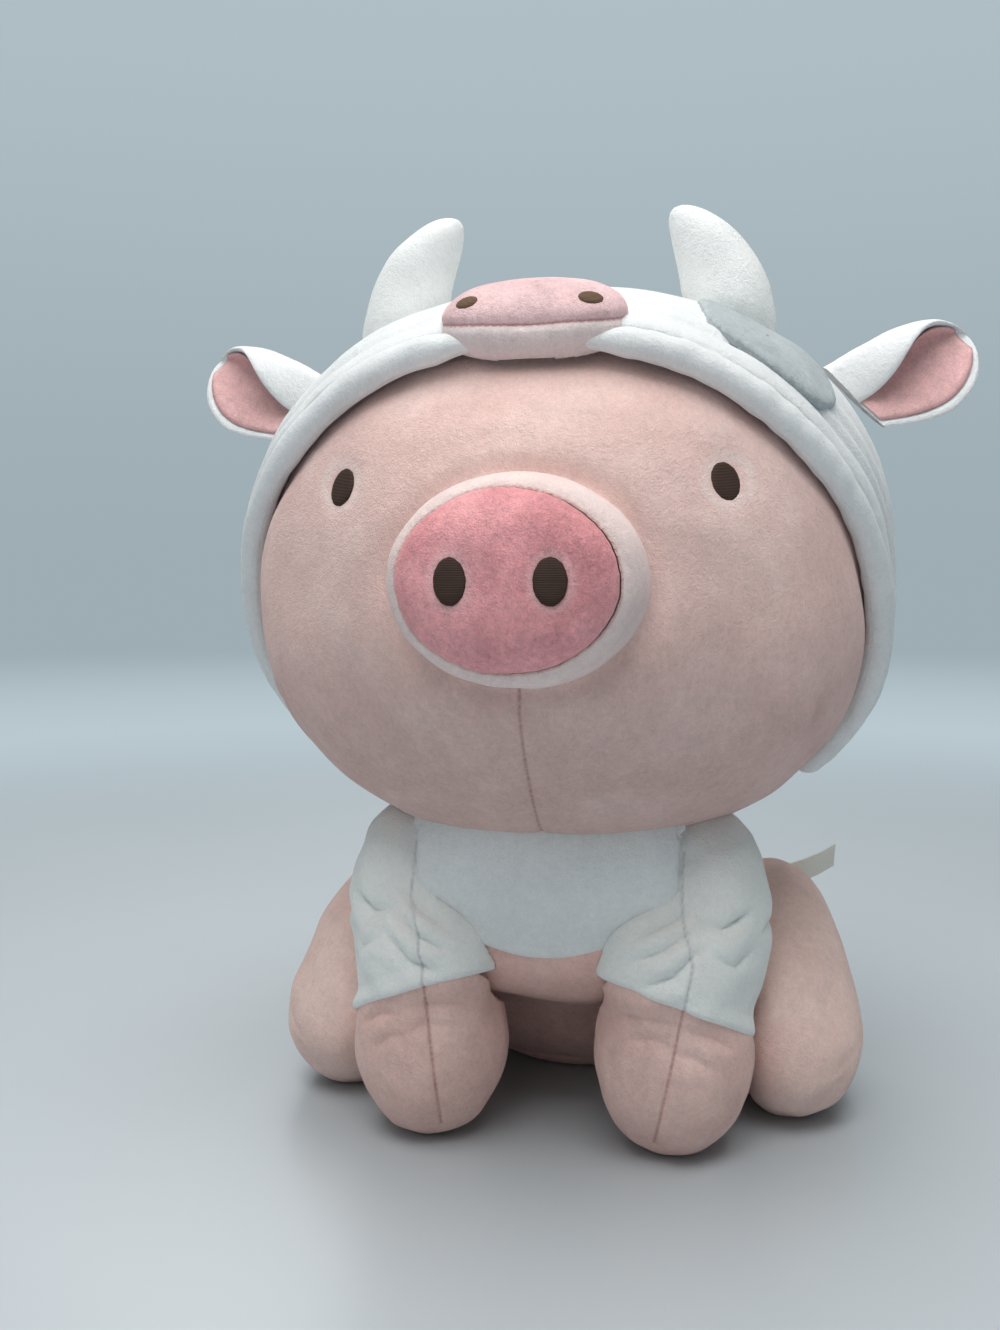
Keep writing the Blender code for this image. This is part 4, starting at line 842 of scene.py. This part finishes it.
horn_velour = velour("white_velour_horn", (0.88, 0.90, 0.885), WHITE_SEAM_LINE_AND_SHADOW, WHITE_PALE, nap=0.14, mottle=0.08)
turn, rise = np.radians(np.meshgrid(np.linspace(0, 360, 73)[:-1], np.linspace(8, 90, 74)))
share = np.sin(rise)
height = (HORN_HEIGHT + HORN_RADIUS) * share - HORN_RADIUS
radius = HORN_RADIUS * (1 - HORN_TAPER * share) * np.sqrt(np.maximum(0, 1 - share**8))
across = radius * np.cos(turn) - HORN_LEAN * (np.maximum(0, height) / HORN_HEIGHT) ** 2
horn_grid = np.stack((across, -radius * np.sin(turn), height), -1)
gathers = np.sin(turn * 15 + 1.5 * np.sin(turn * 4))
tip = np.array(UP) * (rise[..., None] > np.radians(80)) * 0.004
for side, word in SIDES:
    foot = mirrored(hood.point(*HORN_FOOT)[0], side)
    surface = foot + mirrored(horn_grid, side)
    outward = unit(surface - surface.mean(1, keepdims=True) + tip)
    foot_far = np.abs(hood.gauge(surface, EASE_BACK + HOOD_LAYERS) - 1) * 0.1
    relief = 0.0005 * lumps(surface, 0.024, 47 + side) - 0.0012 * bell(foot_far, 0.0028)
    relief += 0.00030 * gathers * bell(foot_far, 0.006)
    grid = surface + outward * relief[..., None]
    horn = sewn(f"horn_{word}", grid, horn_velour, far=foot_far + 0.0006, inward=foot)
    finished(horn, "head", [f"horn_{word}_skin", f"horn_{word}_stuffing"])


# The ears: a white leaf with a rose lining, folded along its top edge and sewn shut at its root.
# The fold opens towards the tip, so that the lining shows like a cup.
EAR_LENGTH = 0.050
EAR_HALF_WIDTH = 0.0225
EAR_DROOP = math.radians(22)
EAR_ROOT = 0.0032
EAR_PLACE = ([36.0], [95.0])
EAR_FOLD = 0.16
EAR_CURL = np.radians(30)
CUP_BREADTH = 0.95
CUP_END = 0.96
EAR_ROSE = (0.76, 0.47, 0.46)
ear_velour = velour("white_velour_ear", (0.86, 0.87, 0.875), WHITE_SEAM_LINE_AND_SHADOW, WHITE_PALE, nap=0.16, mottle=0.09)
ear_rose = velour("rose_velour_ear", EAR_ROSE, ROSE_SEAM_LINE_AND_SHADOW, ROSE_PALE, nap=0.50, mottle=0.35)
place = hood.point(*EAR_PLACE)[0]
ear_out = hood.normal(place[None])[0]
ear_along = unit(hood.point([EAR_PLACE[0][0] + 1], EAR_PLACE[1])[0] - place)
ear_ahead = unit(np.cross(ear_along, ear_out))
if ear_ahead[1] > 0:
    ear_ahead = -ear_ahead


def ear_sheet(root, stations, breadth, margin, offset):
    """Places in the folded leaf, by shares of its length and width, and a height towards its inside."""
    tip = ear_out * math.cos(EAR_DROOP) - ear_along * math.sin(EAR_DROOP)
    width = (EAR_HALF_WIDTH - margin) * (1 + 0.22 * np.sin(np.pi * stations))
    width = width * np.sqrt(np.maximum(0, 1 - stations**2.6)) * 1.12
    fine = np.linspace(-1, 1, 161)
    middle = len(fine) // 2
    fold = np.radians(172 - 98 * stations**1.3)[:, None]
    folded = fold * eased((fine - EAR_FOLD) / (0.26 + 0.4 * stations[:, None]))
    bend = np.where(fine > EAR_FOLD, folded, EAR_CURL * (fine - EAR_FOLD))
    step = width[:, None] * (fine[1] - fine[0])
    up = np.cumsum(np.cos(bend) * step, axis=1)
    out = np.cumsum(np.sin(bend) * step, axis=1)
    place = np.empty((len(stations), len(breadth), 3))
    for row, station in enumerate(stations):
        start = root + ear_out * EAR_ROOT + tip * (EAR_LENGTH - margin) * station
        rise = np.interp(breadth, fine, up[row] - up[row, middle])[:, None]
        reach = np.interp(breadth, fine, out[row] - out[row, middle])[:, None]
        lean = np.interp(breadth, fine, bend[row])[:, None]
        inside = ear_ahead * np.cos(lean) - ear_along * np.sin(lean)
        place[row] = start + ear_along * rise + ear_ahead * reach + inside * offset[row][:, None]
    return place


stations = np.sin(np.linspace(0, 1, 46) * np.pi / 2)
breadth = np.linspace(-1, 1, 61)
puff = 0.0021 * np.sqrt(1 - np.abs(breadth) ** 5) * np.sqrt(1 - stations**8)[:, None] + 0.0001
cup_stations = np.linspace(0.02, CUP_END, 40)
cup_breadth = np.linspace(-CUP_BREADTH, CUP_BREADTH, 49)
to_side = 1 - np.abs(cup_breadth) / CUP_BREADTH
to_tip = (CUP_END - cup_stations)[:, None]
cup_height = 0.0016 + 0.0016 * np.sqrt(np.minimum(1, to_side * 9) * np.minimum(1, to_tip * 22 + 0.02))
cup_far = np.minimum(to_side * 0.016, to_tip * 0.04) + 0.0003
for side, word in SIDES:
    joint = next(joint for joint in frame["joints"] if joint["name"] == f"ear_{word}_flop")
    root = mirrored(np.array(joint["pos_m"]), side)
    outer = ear_sheet(root, stations, breadth, 0.0, -puff)
    inner = ear_sheet(root, stations, breadth, 0.0, puff)
    leaf = np.concatenate((outer, inner[:, ::-1]), axis=1)
    relief = 0.0003 * lumps(leaf, 0.016, 53 + side)
    leaf = leaf + unit(leaf - leaf.mean(1, keepdims=True)) * relief[..., None]
    skin = sewn(f"ear_skin_{word}", mirrored(leaf, side), ear_velour, far=0.004)
    turned_out(skin)
    finished(skin, f"ear_{word}", [f"ear_{word}_outer"])
    cup = mirrored(ear_sheet(root, cup_stations, cup_breadth, 0.0012, cup_height), side)
    behind = mirrored(root - ear_ahead * 0.03, side)
    inside = sewn(f"ear_cup_{word}", cup, ear_rose, closed=False, far=cup_far, inward=behind)
    finished(inside, f"ear_{word}", [f"ear_{word}_lining"])


# The body: one stuffed form, narrow at the chest and wide at the rump. The white jacket covers
# its upper half in three panels and ends in a turned hem, with the pink belly and rump below it.
CHEST_MIDDLE = (0, -0.047, 0.098)
CHEST_HALVES = (0.054, 0.054, 0.045)
RUMP_MIDDLE = (0, 0, 0.0495)
RUMP_HALVES = (0.078, 0.056, 0.053)
SHOULDER = (0.0475, -0.075, 0.0926)
SHOULDER_RADIUS = 0.027
HEAD_SEAT_RADIUS = 0.1128
HEAD_SEAT_DROP = 0.0930
HEM_DROP = 5
SEAT_SEAM = 150
SEAM_TURNS = (45, 135, -90)
BODY_SPANS = ((108, 180), (0, 108), (180, 288))
TILT = math.radians(21.5)
NO_LIMIT = 9
# The jacket's white is lighter than the hood's: painted light, lifting the chest where the head shades it.
JACKET_WHITE_PAINTED_LIGHTER = (0.88, 0.90, 0.895)
JACKET_PALE = (0.92, 0.93, 0.93)
BODY_PINK = (0.88, 0.565, 0.505)
BODY_PINK_PALE = (0.91, 0.70, 0.65)
chest = Ball(CHEST_MIDDLE, CHEST_HALVES, 3.6)
rump = Ball(RUMP_MIDDLE, RUMP_HALVES)
shoulders = [Ball((side * 0.036, -0.075, 0.0905), (0.022, 0.0272, 0.032), 2.6) for side in (1, -1)]
collar = Ball((0, -0.066, 0.106), (0.046, 0.043, 0.022), 2.6)
breast = Ball((0, -0.044, 0.075), (0.044, 0.050, 0.030), 2.2)
torso = Form(
    [chest, rump, *shoulders, collar, breast], (0, -math.sin(TILT), math.cos(TILT)), FRONT, floor=0.0,
    core=(chest.middle + rump.middle) / 2,
)


def jacket_hem(around):
    """Angle from the body's pole of the jacket's level hem, which is drawn up beside the legs."""
    level = np.degrees(np.arctan2(math.cos(TILT), math.sin(TILT) * np.sin(np.radians(around)))) + HEM_DROP
    rise = 3.5 + 0.0130 * np.minimum(apart(around), 27) ** 2
    return level - rise * eased((46 - apart(around)) / 18)


def under_head(points):
    """Points pressed down where the head would rest on them."""
    radius = np.hypot(points[..., 0], points[..., 1] - HEAD_MIDDLE[1])
    share = np.clip(radius / HEAD_SEAT_RADIUS, 0, 1) ** CHEEKY
    ceiling = HEAD_MIDDLE[2] - HEAD_SEAT_DROP * np.maximum(0, 1 - share) ** (1 / CHEEKY)
    ceiling = np.where(radius < HEAD_SEAT_RADIUS, ceiling, NO_LIMIT)
    points[..., 2] = np.minimum(points[..., 2], ceiling)
    return points


def armholes(points):
    """Points pressed in where the front legs join the chest."""
    reach = np.hypot(points[..., 1] - SHOULDER[1], points[..., 2] - SHOULDER[2])
    limit = np.where(reach < SHOULDER_RADIUS * 1.25, SHOULDER[0] - 0.0002, NO_LIMIT)
    points[..., 0] = np.sign(points[..., 0]) * np.minimum(np.abs(points[..., 0]), limit)
    return points


def settled(points, floor=0.0):
    """Points held above the level on which the toy sits."""
    points[..., 2] = np.maximum(points[..., 2], floor)
    return points


jacket_velour = velour("white_velour_jacket", JACKET_WHITE_PAINTED_LIGHTER, WHITE_SEAM_LINE_AND_SHADOW, JACKET_PALE, nap=0.16, mottle=0.09)
columns = np.linspace(-90, 270, 289)
hem_tilt = jacket_hem(columns)
rows = 0.3 + (hem_tilt - 0.3) * np.linspace(0, 1, 90)[:, None]
rows = np.concatenate((rows, [hem_tilt + 0.45, hem_tilt + 0.3, hem_tilt - 0.8]))
lift = np.concatenate((np.full(86, 0.0012), (0.0013, 0.0014, 0.0013, 0.0010, 0.0, -0.0016, -0.0026)))[:, None]
surface = torso.point(columns, rows)
seams = [torso.line([(turn, 2), (turn, float(jacket_hem(turn)))]) for turn in SEAM_TURNS]
for side in (1, -1):
    places = [(side * x, -0.1, z) for x, z in ((0.0468, 0.121), (0.0466, 0.108), (0.0462, 0.094))]
    seams.append(torso.line(torso.angles(places)))
far, run = nearest_seam(surface, seams)
hem_far, hem_run = near(surface, torso.point(columns, hem_tilt - 3.2))
relief = 0.0007 * lumps(surface, 0.045, 61) + drawn_in(far, run, depth=0.0009, valley=0.0008)
relief -= 0.0005 * bell(hem_far, 0.0012)
grid = armholes(under_head(torso.raised(surface, relief + lift)))
run = np.where(hem_far < far, hem_run, run)
far = np.where(hem_far < far, hem_far + 0.0006, far)
for name, span in zip(("jacket_chest", "jacket_back_left", "jacket_back_right"), BODY_SPANS):
    panel = sewn(name, grid, jacket_velour, span=span, far=far, run=run, inward=torso.core)
    nodes = [f"{name}_panel"] + (["body_stuffing"] if name == "jacket_chest" else [])
    finished(panel, "torso", nodes)

body_pink = velour("pink_velour_body", BODY_PINK, PINK_SEAM_LINE_AND_SHADOW, BODY_PINK_PALE)
start = hem_tilt - 2.2
rows = start + (SEAT_SEAM - start) * np.linspace(0, 1, 70)[:, None]
surface = torso.point(columns, rows)
seams = [torso.line([(turn, float(jacket_hem(turn))), (turn, SEAT_SEAM)]) for turn in SEAM_TURNS]
seat_seam = torso.point(np.linspace(-90, 270, 500), SEAT_SEAM)
far, run = nearest_seam(surface, [*seams, seat_seam])
relief = 0.0008 * lumps(surface, 0.05, 67) + drawn_in(far, run) - 0.0006 * bell(rows - start, 3)
grid = settled(armholes(torso.raised(surface, relief)))
far = np.maximum(far, 0.002 * (rows > 135))
# Painted shadow: the low front of the belly between the front legs is darkened through a negative pale mark.
low = np.clip((0.068 - grid[..., 2]) / 0.022, 0, 1)
painted_shadow_between_legs = low * np.clip((0.05 - np.abs(grid[..., 0])) / 0.02, 0, 1) * (grid[..., 1] < 0)
pale = -0.34 * painted_shadow_between_legs
for name, span in zip(("belly", "rump_left", "rump_right"), BODY_SPANS):
    panel = sewn(name, grid, body_pink, span=span, far=far, run=run, pale=pale, inward=torso.core)
    finished(panel, "torso", [f"{name}_panel"])

surface = torso.point(columns[:-1], np.linspace(SEAT_SEAM, 180, 20)[:, None])
far, run = nearest_seam(surface, [seat_seam])
grid = settled(torso.raised(surface, 0.0008 * lumps(surface, 0.05, 67) + drawn_in(far, run)))
seat = sewn("seat", grid, body_pink, far=far + 0.002, run=run, inward=torso.core)
finished(seat, "torso", ["seat_panel"])


# The front legs: each a stuffed tube of an inner and an outer half, white sleeve above and pink
# hoof below. The sleeve creases at the elbow, and its edge lies a little over the hoof.
UPPER_MIDDLE = np.array((0.054, -0.075, 0.0786))
UPPER_HALVES = (0.025, 0.027, 0.041)
HOOF_MIDDLE = np.array((0.045, -0.089, 0.035))
HOOF_HALVES = (0.0285, 0.028, 0.036)
SHOULDER_PUFF = Ball((0.0505, -0.0745, 0.0926), (0.0215, 0.0278, 0.0278), 3, turned="x")
ELBOW_PUFF = Ball((0.043, -0.097, 0.070), (0.0235, 0.0205, 0.0215), 2.2)
# The sleeves' white is the lightest of the whites: painted light, lifting the sleeves where the head shades
# them.
SLEEVE_WHITE_PAINTED_LIGHTER = (0.92, 0.945, 0.92)
SLEEVE_PALE = (0.94, 0.955, 0.94)
HOOF_PINK = (0.86, 0.585, 0.525)
HOOF_PALE = (0.92, 0.73, 0.68)
SLEEVE_END = 102
SLEEVE_SLANT = 9
FRONT_SEAMS = {1: 96, -1: 104}
HOOF_FLOOR = 0.0003
upper = Ball(UPPER_MIDDLE, UPPER_HALVES)
hoof = Ball(HOOF_MIDDLE, HOOF_HALVES, 2.05, turned="z")
leg = Form(
    [upper, hoof, SHOULDER_PUFF, ELBOW_PUFF],
    UPPER_MIDDLE - HOOF_MIDDLE, FRONT, floor=HOOF_FLOOR, core=(UPPER_MIDDLE + HOOF_MIDDLE) / 2,
)


class SwingRoom:
    """How far out a leg has to stay to pass the chest, by its place round the shoulder."""

    def __init__(self, swing, clearance):
        self.planes = np.linspace(0, SHOULDER[0], 25)
        self.turns = np.linspace(-90, 180, 91)
        steps = np.arange(0, swing + 1, 3)
        wide = np.linspace(-90, 180 + swing, 131)
        turns = np.radians(wide)
        directions = np.stack((0 * turns, -np.sin(turns), -np.cos(turns)), -1)
        self.reaches = []
        for plane in self.planes:
            start = np.array((plane, SHOULDER[1], SHOULDER[2]))
            reach = torso.reach(directions, 0.0, start) * (torso.gauge(start[None]) < 1)
            swept = [np.interp(self.turns + step, wide, reach) for step in steps]
            self.reaches.append(np.max(swept, axis=0) + clearance)

    def cleared(self, points, sunk=0.0):
        """The points, moved out sideways where the chest would be in the way."""
        back, down = points[..., 1] - SHOULDER[1], SHOULDER[2] - points[..., 2]
        turn = np.degrees(np.arctan2(-back, down))
        radius = np.hypot(back, down)
        over = [np.interp(turn, self.turns, reach) - sunk - radius for reach in self.reaches]
        limit = np.full(radius.shape, -1.0)
        step = self.planes[1]
        for plane, here, beyond in zip(self.planes, over, over[1:] + over[-1:]):
            share = np.clip(here / np.maximum(here - beyond, 1e-6), 0, 1)
            limit = np.where(here > 0, np.minimum(plane + step * share, SHOULDER[0]), limit)
        points[..., 0] = np.maximum(points[..., 0], np.where(limit >= 0, limit + 0.0002 - 0.4 * sunk, -1))
        return points


beside_chest = SwingRoom(0, 0.0012)
past_chest = SwingRoom(70, 0.0028)
sleeve_velour = velour("white_velour_sleeve", SLEEVE_WHITE_PAINTED_LIGHTER, WHITE_SEAM_LINE_AND_SHADOW, SLEEVE_PALE, nap=0.16, mottle=0.09)
hoof_velour = velour("pink_velour_hoof", HOOF_PINK, PINK_SEAM_LINE_AND_SHADOW, HOOF_PALE, nap=0.34, mottle=0.26)
columns = np.linspace(-90, 270, 193)
armpit = leg.angles([(0.0484, -0.100, 0.120), (0.0482, -0.104, 0.107), (0.0486, -0.107, 0.095)])
elbow = [
    (((0.053, -0.104, 0.094), (0.041, -0.112, 0.088), (0.029, -0.112, 0.079)), 0.0016, 0.0034),
    (((0.055, -0.106, 0.087), (0.043, -0.114, 0.079), (0.030, -0.114, 0.073)), 0.0016, 0.0036),
    (((0.057, -0.106, 0.079), (0.047, -0.114, 0.070), (0.033, -0.116, 0.066)), 0.0015, 0.0026),
    (((0.074, -0.090, 0.090), (0.063, -0.104, 0.085), (0.049, -0.108, 0.089)), 0.0017, 0.0028),
    (((0.074, -0.090, 0.076), (0.066, -0.104, 0.072), (0.055, -0.108, 0.075)), 0.0016, 0.0018),
    (((0.072, -0.060, 0.084), (0.076, -0.076, 0.079), (0.072, -0.092, 0.078)), 0.0018, 0.0020),
]
elbow = [(leg.line(leg.angles(places)), width, depth) for places, width, depth in elbow]
knuckles = [
    (leg.line([(40, 121), (66, 115), (90, 116)]), 0.0018, 0.0018),
    (leg.line([(90, 114), (112, 112), (140, 115)]), 0.0018, 0.0018),
    (leg.line([(54, 132), (76, 127), (92, 129)]), 0.0017, 0.0013),
    (leg.line([(88, 126), (106, 123), (128, 127)]), 0.0017, 0.0013),
]
hem_tilt = SLEEVE_END + SLEEVE_SLANT * np.cos(np.radians(columns))
rows = 0.2 + (hem_tilt - 0.2) * np.linspace(0, 1, 100)[:, None]
rows = np.concatenate((rows, [hem_tilt + 0.9, hem_tilt + 0.6, hem_tilt - 1.5]))
turned_edge = (0.0011, 0.0009, 0.0006, 0.0, -0.0012, -0.0022)
lift = np.concatenate((np.zeros(88), np.linspace(0, 0.0011, 9), turned_edge))[:, None]
sleeve_surface = leg.point(columns, rows)
start = hem_tilt - 1.6
hoof_rows = start + (179.9 - start) * np.linspace(0, 1, 86)[:, None]
hoof_surface = leg.point(columns, hoof_rows)
for side, word in SIDES:
    body = f"front_leg_{word}"
    split = FRONT_SEAMS[side]
    front_turn = columns[split]
    seams = [
        leg.line([*armpit, (front_turn, 78), (front_turn, 172)]),
        leg.line([(-90, 8), (-90, 172)]),
    ]
    far, run = nearest_seam(sleeve_surface, seams)
    relief = drawn_in(far, run, depth=0.0006, width=0.0010, valley=0.0009, spread=0.006, pull=0.00012)
    relief += creased(sleeve_surface, elbow) + lift
    relief += 0.0007 * lumps(sleeve_surface, 0.032, 71 + side)
    relief += 0.0003 * lumps(sleeve_surface, 0.013, 75 + side)
    sleeve_grid = under_head(beside_chest.cleared(leg.raised(sleeve_surface, relief), 0.0016))
    hoof_far, hoof_run = nearest_seam(hoof_surface, seams)
    relief = drawn_in(hoof_far, hoof_run, depth=0.0006, width=0.0010, valley=0.0010, pull=0.0001)
    relief += creased(hoof_surface, knuckles) - 0.0007 * bell(hoof_rows - start, 4)
    relief += 0.0006 * lumps(hoof_surface, 0.030, 79 + side)
    relief += 0.0002 * lumps(hoof_surface, 0.012, 83 + side)
    hoof_grid = settled(past_chest.cleared(leg.raised(hoof_surface, relief)), HOOF_FLOOR)
    sleeve_grid, hoof_grid, core = (mirrored(places, side) for places in (sleeve_grid, hoof_grid, leg.core))
    for half, span in (("outer", (0, split)), ("inner", (split, len(columns) - 1))):
        name = f"sleeve_{word}_{half}"
        part = sewn(name, sleeve_grid, sleeve_velour, span=span, far=far, run=run, inward=core)
        nodes = [f"{name}_panel"] + ([f"front_leg_{word}_stuffing"] if half == "outer" else [])
        finished(part, None, nodes)
        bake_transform(part)
        name = f"hoof_{word}_{half}"
        part = sewn(name, hoof_grid, hoof_velour, span=span, far=hoof_far, run=hoof_run, inward=core)
        finished(part, body, [f"{name}_panel"])


# The hind legs: a stuffed haunch and a foot that points forward, sewn flat to the rump.
# Each has an outer and an inner half, and its seam runs round between them.
HALVES_SEAM = 106
haunch = Form(
    [
        Ball((0.0797, -0.008, 0.0445), (0.028, 0.045, 0.0445)),
        Ball((0.089, -0.042, 0.027), (0.026, 0.036, 0.028)),
        Ball((0.086, -0.026, 0.038), (0.0265, 0.040, 0.036)),
    ],
    (1, 0, 0), UP, floor=0.0, core=(0.08435, -0.025, 0.0365),
)
# The haunch pink is lighter than the body's pink: painted light on the hind legs and the tail.
haunch_velour = velour("pink_velour_haunch", (0.93, 0.68, 0.61), PINK_SEAM_LINE_AND_SHADOW, (0.95, 0.78, 0.73))
columns = np.linspace(-90, 270, 217)[:-1]
ring_seam = haunch.line([(-90, HALVES_SEAM), (270, HALVES_SEAM)])
folds = [
    (haunch.line([(196, 60), (205, 74), (214, 84)]), 0.0024, 0.0014),
    (haunch.line([(186, 48), (192, 64), (196, 80)]), 0.0026, 0.0009),
    (haunch.line([(150, 62), (168, 70), (186, 66)]), 0.0040, 0.0013),
]
for half, low, high in (("outer", 0.5, HALVES_SEAM), ("inner", HALVES_SEAM, 176)):
    surface = haunch.point(columns, np.linspace(low, high, 74)[:, None])
    far, run = nearest_seam(surface, [ring_seam])
    base = drawn_in(far, run, depth=0.0010, valley=0.0010, spread=0.007, pull=0.0003)
    base += creased(surface, folds)
    for side, word in SIDES:
        relief = base + 0.0008 * lumps(surface, 0.040, 91 + side) + 0.0003 * lumps(surface, 0.016, 95 + side)
        grid = mirrored(settled(haunch.raised(surface, relief)), side)
        core = mirrored(haunch.core, side)
        name = f"hind_leg_{word}_{half}"
        part = sewn(name, grid, haunch_velour, far=far, run=run, inward=core)
        cut_away(part, torso, -0.003)
        nodes = [f"{name}_panel"] + ([f"hind_leg_{word}_stuffing"] if half == "outer" else [])
        finished(part, "torso", nodes)


# The tail: a short stuffed tube of the same pink velour, closed at its tip.
# It is sewn into the seam at the back of the rump and curls up from there.
TAIL_LENGTH = 0.022
TAIL_CURL = 0.010
TAIL_RADIUS = 0.006
TAIL_STATIONS = (-0.35, 0.0, 0.35, 0.7, 1.0, 1.1, 1.16, 1.18)
TAIL_WIDTHS = (1.0, 1.0, 0.92, 0.78, 0.56, 0.4, 0.2, 0.0)
tail_root = torso.point([-90.0], [95.0])[0]
tail_out = torso.normal(tail_root[None])[0]
tail_rise = np.cross((1, 0, 0), tail_out)
tail_rise = tail_rise if tail_rise[2] > 0 else -tail_rise
stations = np.linspace(-0.2, 1.18, 50)[:, None]
widths = np.interp(stations, TAIL_STATIONS, TAIL_WIDTHS)
middle = tail_root + TAIL_LENGTH * stations * tail_out + TAIL_CURL * np.maximum(0, stations) ** 2 * tail_rise
turn = np.radians(np.linspace(0, 360, 41)[:-1])[:, None]
spoke = np.cos(turn) * np.array((1, 0, 0)) + np.sin(turn) * tail_rise
grid = middle[:, None] + spoke * (TAIL_RADIUS * widths)[:, None]
grid = grid + spoke * (0.0003 * lumps(grid, 0.010, 101))[..., None]
tail = sewn("tail_skin", grid, haunch_velour, far=0.01, inward=tail_root + 0.010 * tail_out)
finished(tail, "torso", ["tail"])


# The care label: a blank strip of cream satin ribbon with a fine weave.
# One of its ends is caught in the seam behind the left haunch.
satin, shader, wire = new_material("satin_label_ribbon")
weave = wire.noise(1500, 2, 0.5, (1, 0.2, 1))
wire.feed(shader, {
    "Base Color": weave.mix((0.78, 0.76, 0.68), (0.88, 0.865, 0.79)),
    "Roughness": 0.45 + weave * 0.2,
    "Normal": weave.bump(0.3, 0.0002),
})
label_node = frame["nodes"]["care_label"]
label_node.data.materials.clear()
label_node.data.materials.append(satin)


# The studio: a pale floor and backdrop in one cool grey, one large soft lamp overhead, smaller
# ones in front and behind, and an even low light from all round.
FLOOR = (0.50, 0.55, 0.585)
FLOOR_FAR = (0.50, 0.595, 0.645)
BACKDROP_LOW = (0.345, 0.420, 0.455)
BACKDROP_HIGH = (0.435, 0.515, 0.560)
FILL_LIGHT = (0.88, 0.96, 1.0)
LAMP_LIGHT = (1.0, 0.99, 0.975)
CAMERA_PLACE = (0.0679, -0.5359, 0.2078)
CAMERA_TILT = 85.9
CAMERA_TURN = 11
bm = bmesh.new()
bmesh.ops.create_circle(bm, cap_ends=True, radius=12, segments=96)
floor_mesh = bpy.data.meshes.new("floor")
bm.to_mesh(floor_mesh)
bm.free()
floor = bpy.data.objects.new("floor", floor_mesh)
bpy.context.scene.collection.objects.link(floor)
floor.location = (0, 0, -0.0004)
stone, shader, wire = new_material("floor_paint")
cloud = wire.noise(5, 3, 0.5)
wire.feed(shader, {"Base Color": cloud.mix(FLOOR, (0.53, 0.58, 0.61)), "Roughness": 0.30 + cloud * 0.08})
place = wire.node("ShaderNodeTexCoord", out="Object")
distance = wire.node("ShaderNodeVectorMath", {"operation": "LENGTH"}, {0: place}, out="Value")
swept = distance.fade(0.9, 3.2).mix(FLOOR_FAR, BACKDROP_LOW)
glow = wire.node("ShaderNodeEmission", None, {"Color": swept, "Strength": 1.0})
painted = Wire(stone.node_tree, shader.outputs[0])
mixed = wire.node("ShaderNodeMixShader", None, {0: distance.fade(0.35, 1.3), 1: painted, 2: glow})
wire.feed(stone.node_tree.nodes["Material Output"], {"Surface": mixed})
floor_mesh.materials.append(stone)

world = bpy.data.worlds.new("studio")
bpy.context.scene.world = world
world.use_nodes = True
world.node_tree.nodes.clear()
wire = Wire(world.node_tree)
rays = wire.node("ShaderNodeLightPath", out="Is Camera Ray")
glossy = wire.node("ShaderNodeLightPath", out="Is Glossy Ray")
place = wire.node("ShaderNodeTexCoord", out="Generated")
height = wire.node("ShaderNodeSeparateXYZ", None, {"Vector": place}, out="Z")
backdrop = height.fade(0.0, 0.45).mix(BACKDROP_LOW, BACKDROP_HIGH)
seen = wire.node("ShaderNodeBackground", None, {"Color": backdrop, "Strength": 1.0})
fill = wire.node("ShaderNodeBackground", None, {"Color": FILL_LIGHT, "Strength": 0.16})
both = wire.node("ShaderNodeMixShader", None, {0: wire.sum("MAXIMUM", rays, glossy), 1: fill, 2: seen})
wire.feed(world.node_tree.nodes.new("ShaderNodeOutputWorld"), {"Surface": both})

for name, place, target, size, watts in (
    ("lamp_above", (0.0, -0.36, 1.25), (0, -0.05, 0.15), 1.2, 15.8),
    ("lamp_front", (-0.30, -1.2, 1.0), (0, -0.05, 0.18), 0.8, 1.4),
    ("lamp_back", (-0.35, 1.0, 1.0), (0, 0.0, 0.18), 0.9, 4.5),
):
    light = bpy.data.lights.new(name, "AREA")
    light.shape = "DISK"
    light.size = size
    light.energy = watts
    light.color = LAMP_LIGHT
    lamp = bpy.data.objects.new(name, light)
    lamp.location = place
    lamp.rotation_euler = (Vector(target) - Vector(place)).to_track_quat("-Z", "Y").to_euler()
    bpy.context.scene.collection.objects.link(lamp)

lens = bpy.data.cameras.new("camera")
lens.sensor_width = 36
lens.lens = 33.83
lens.clip_start = 0.01
lens.clip_end = 100
camera = bpy.data.objects.new("camera", lens)
camera.location = CAMERA_PLACE
camera.rotation_euler = (math.radians(CAMERA_TILT), 0, math.radians(CAMERA_TURN))
bpy.context.scene.collection.objects.link(camera)
bpy.context.scene.camera = camera
bpy.context.scene.view_settings.view_transform = "Standard"
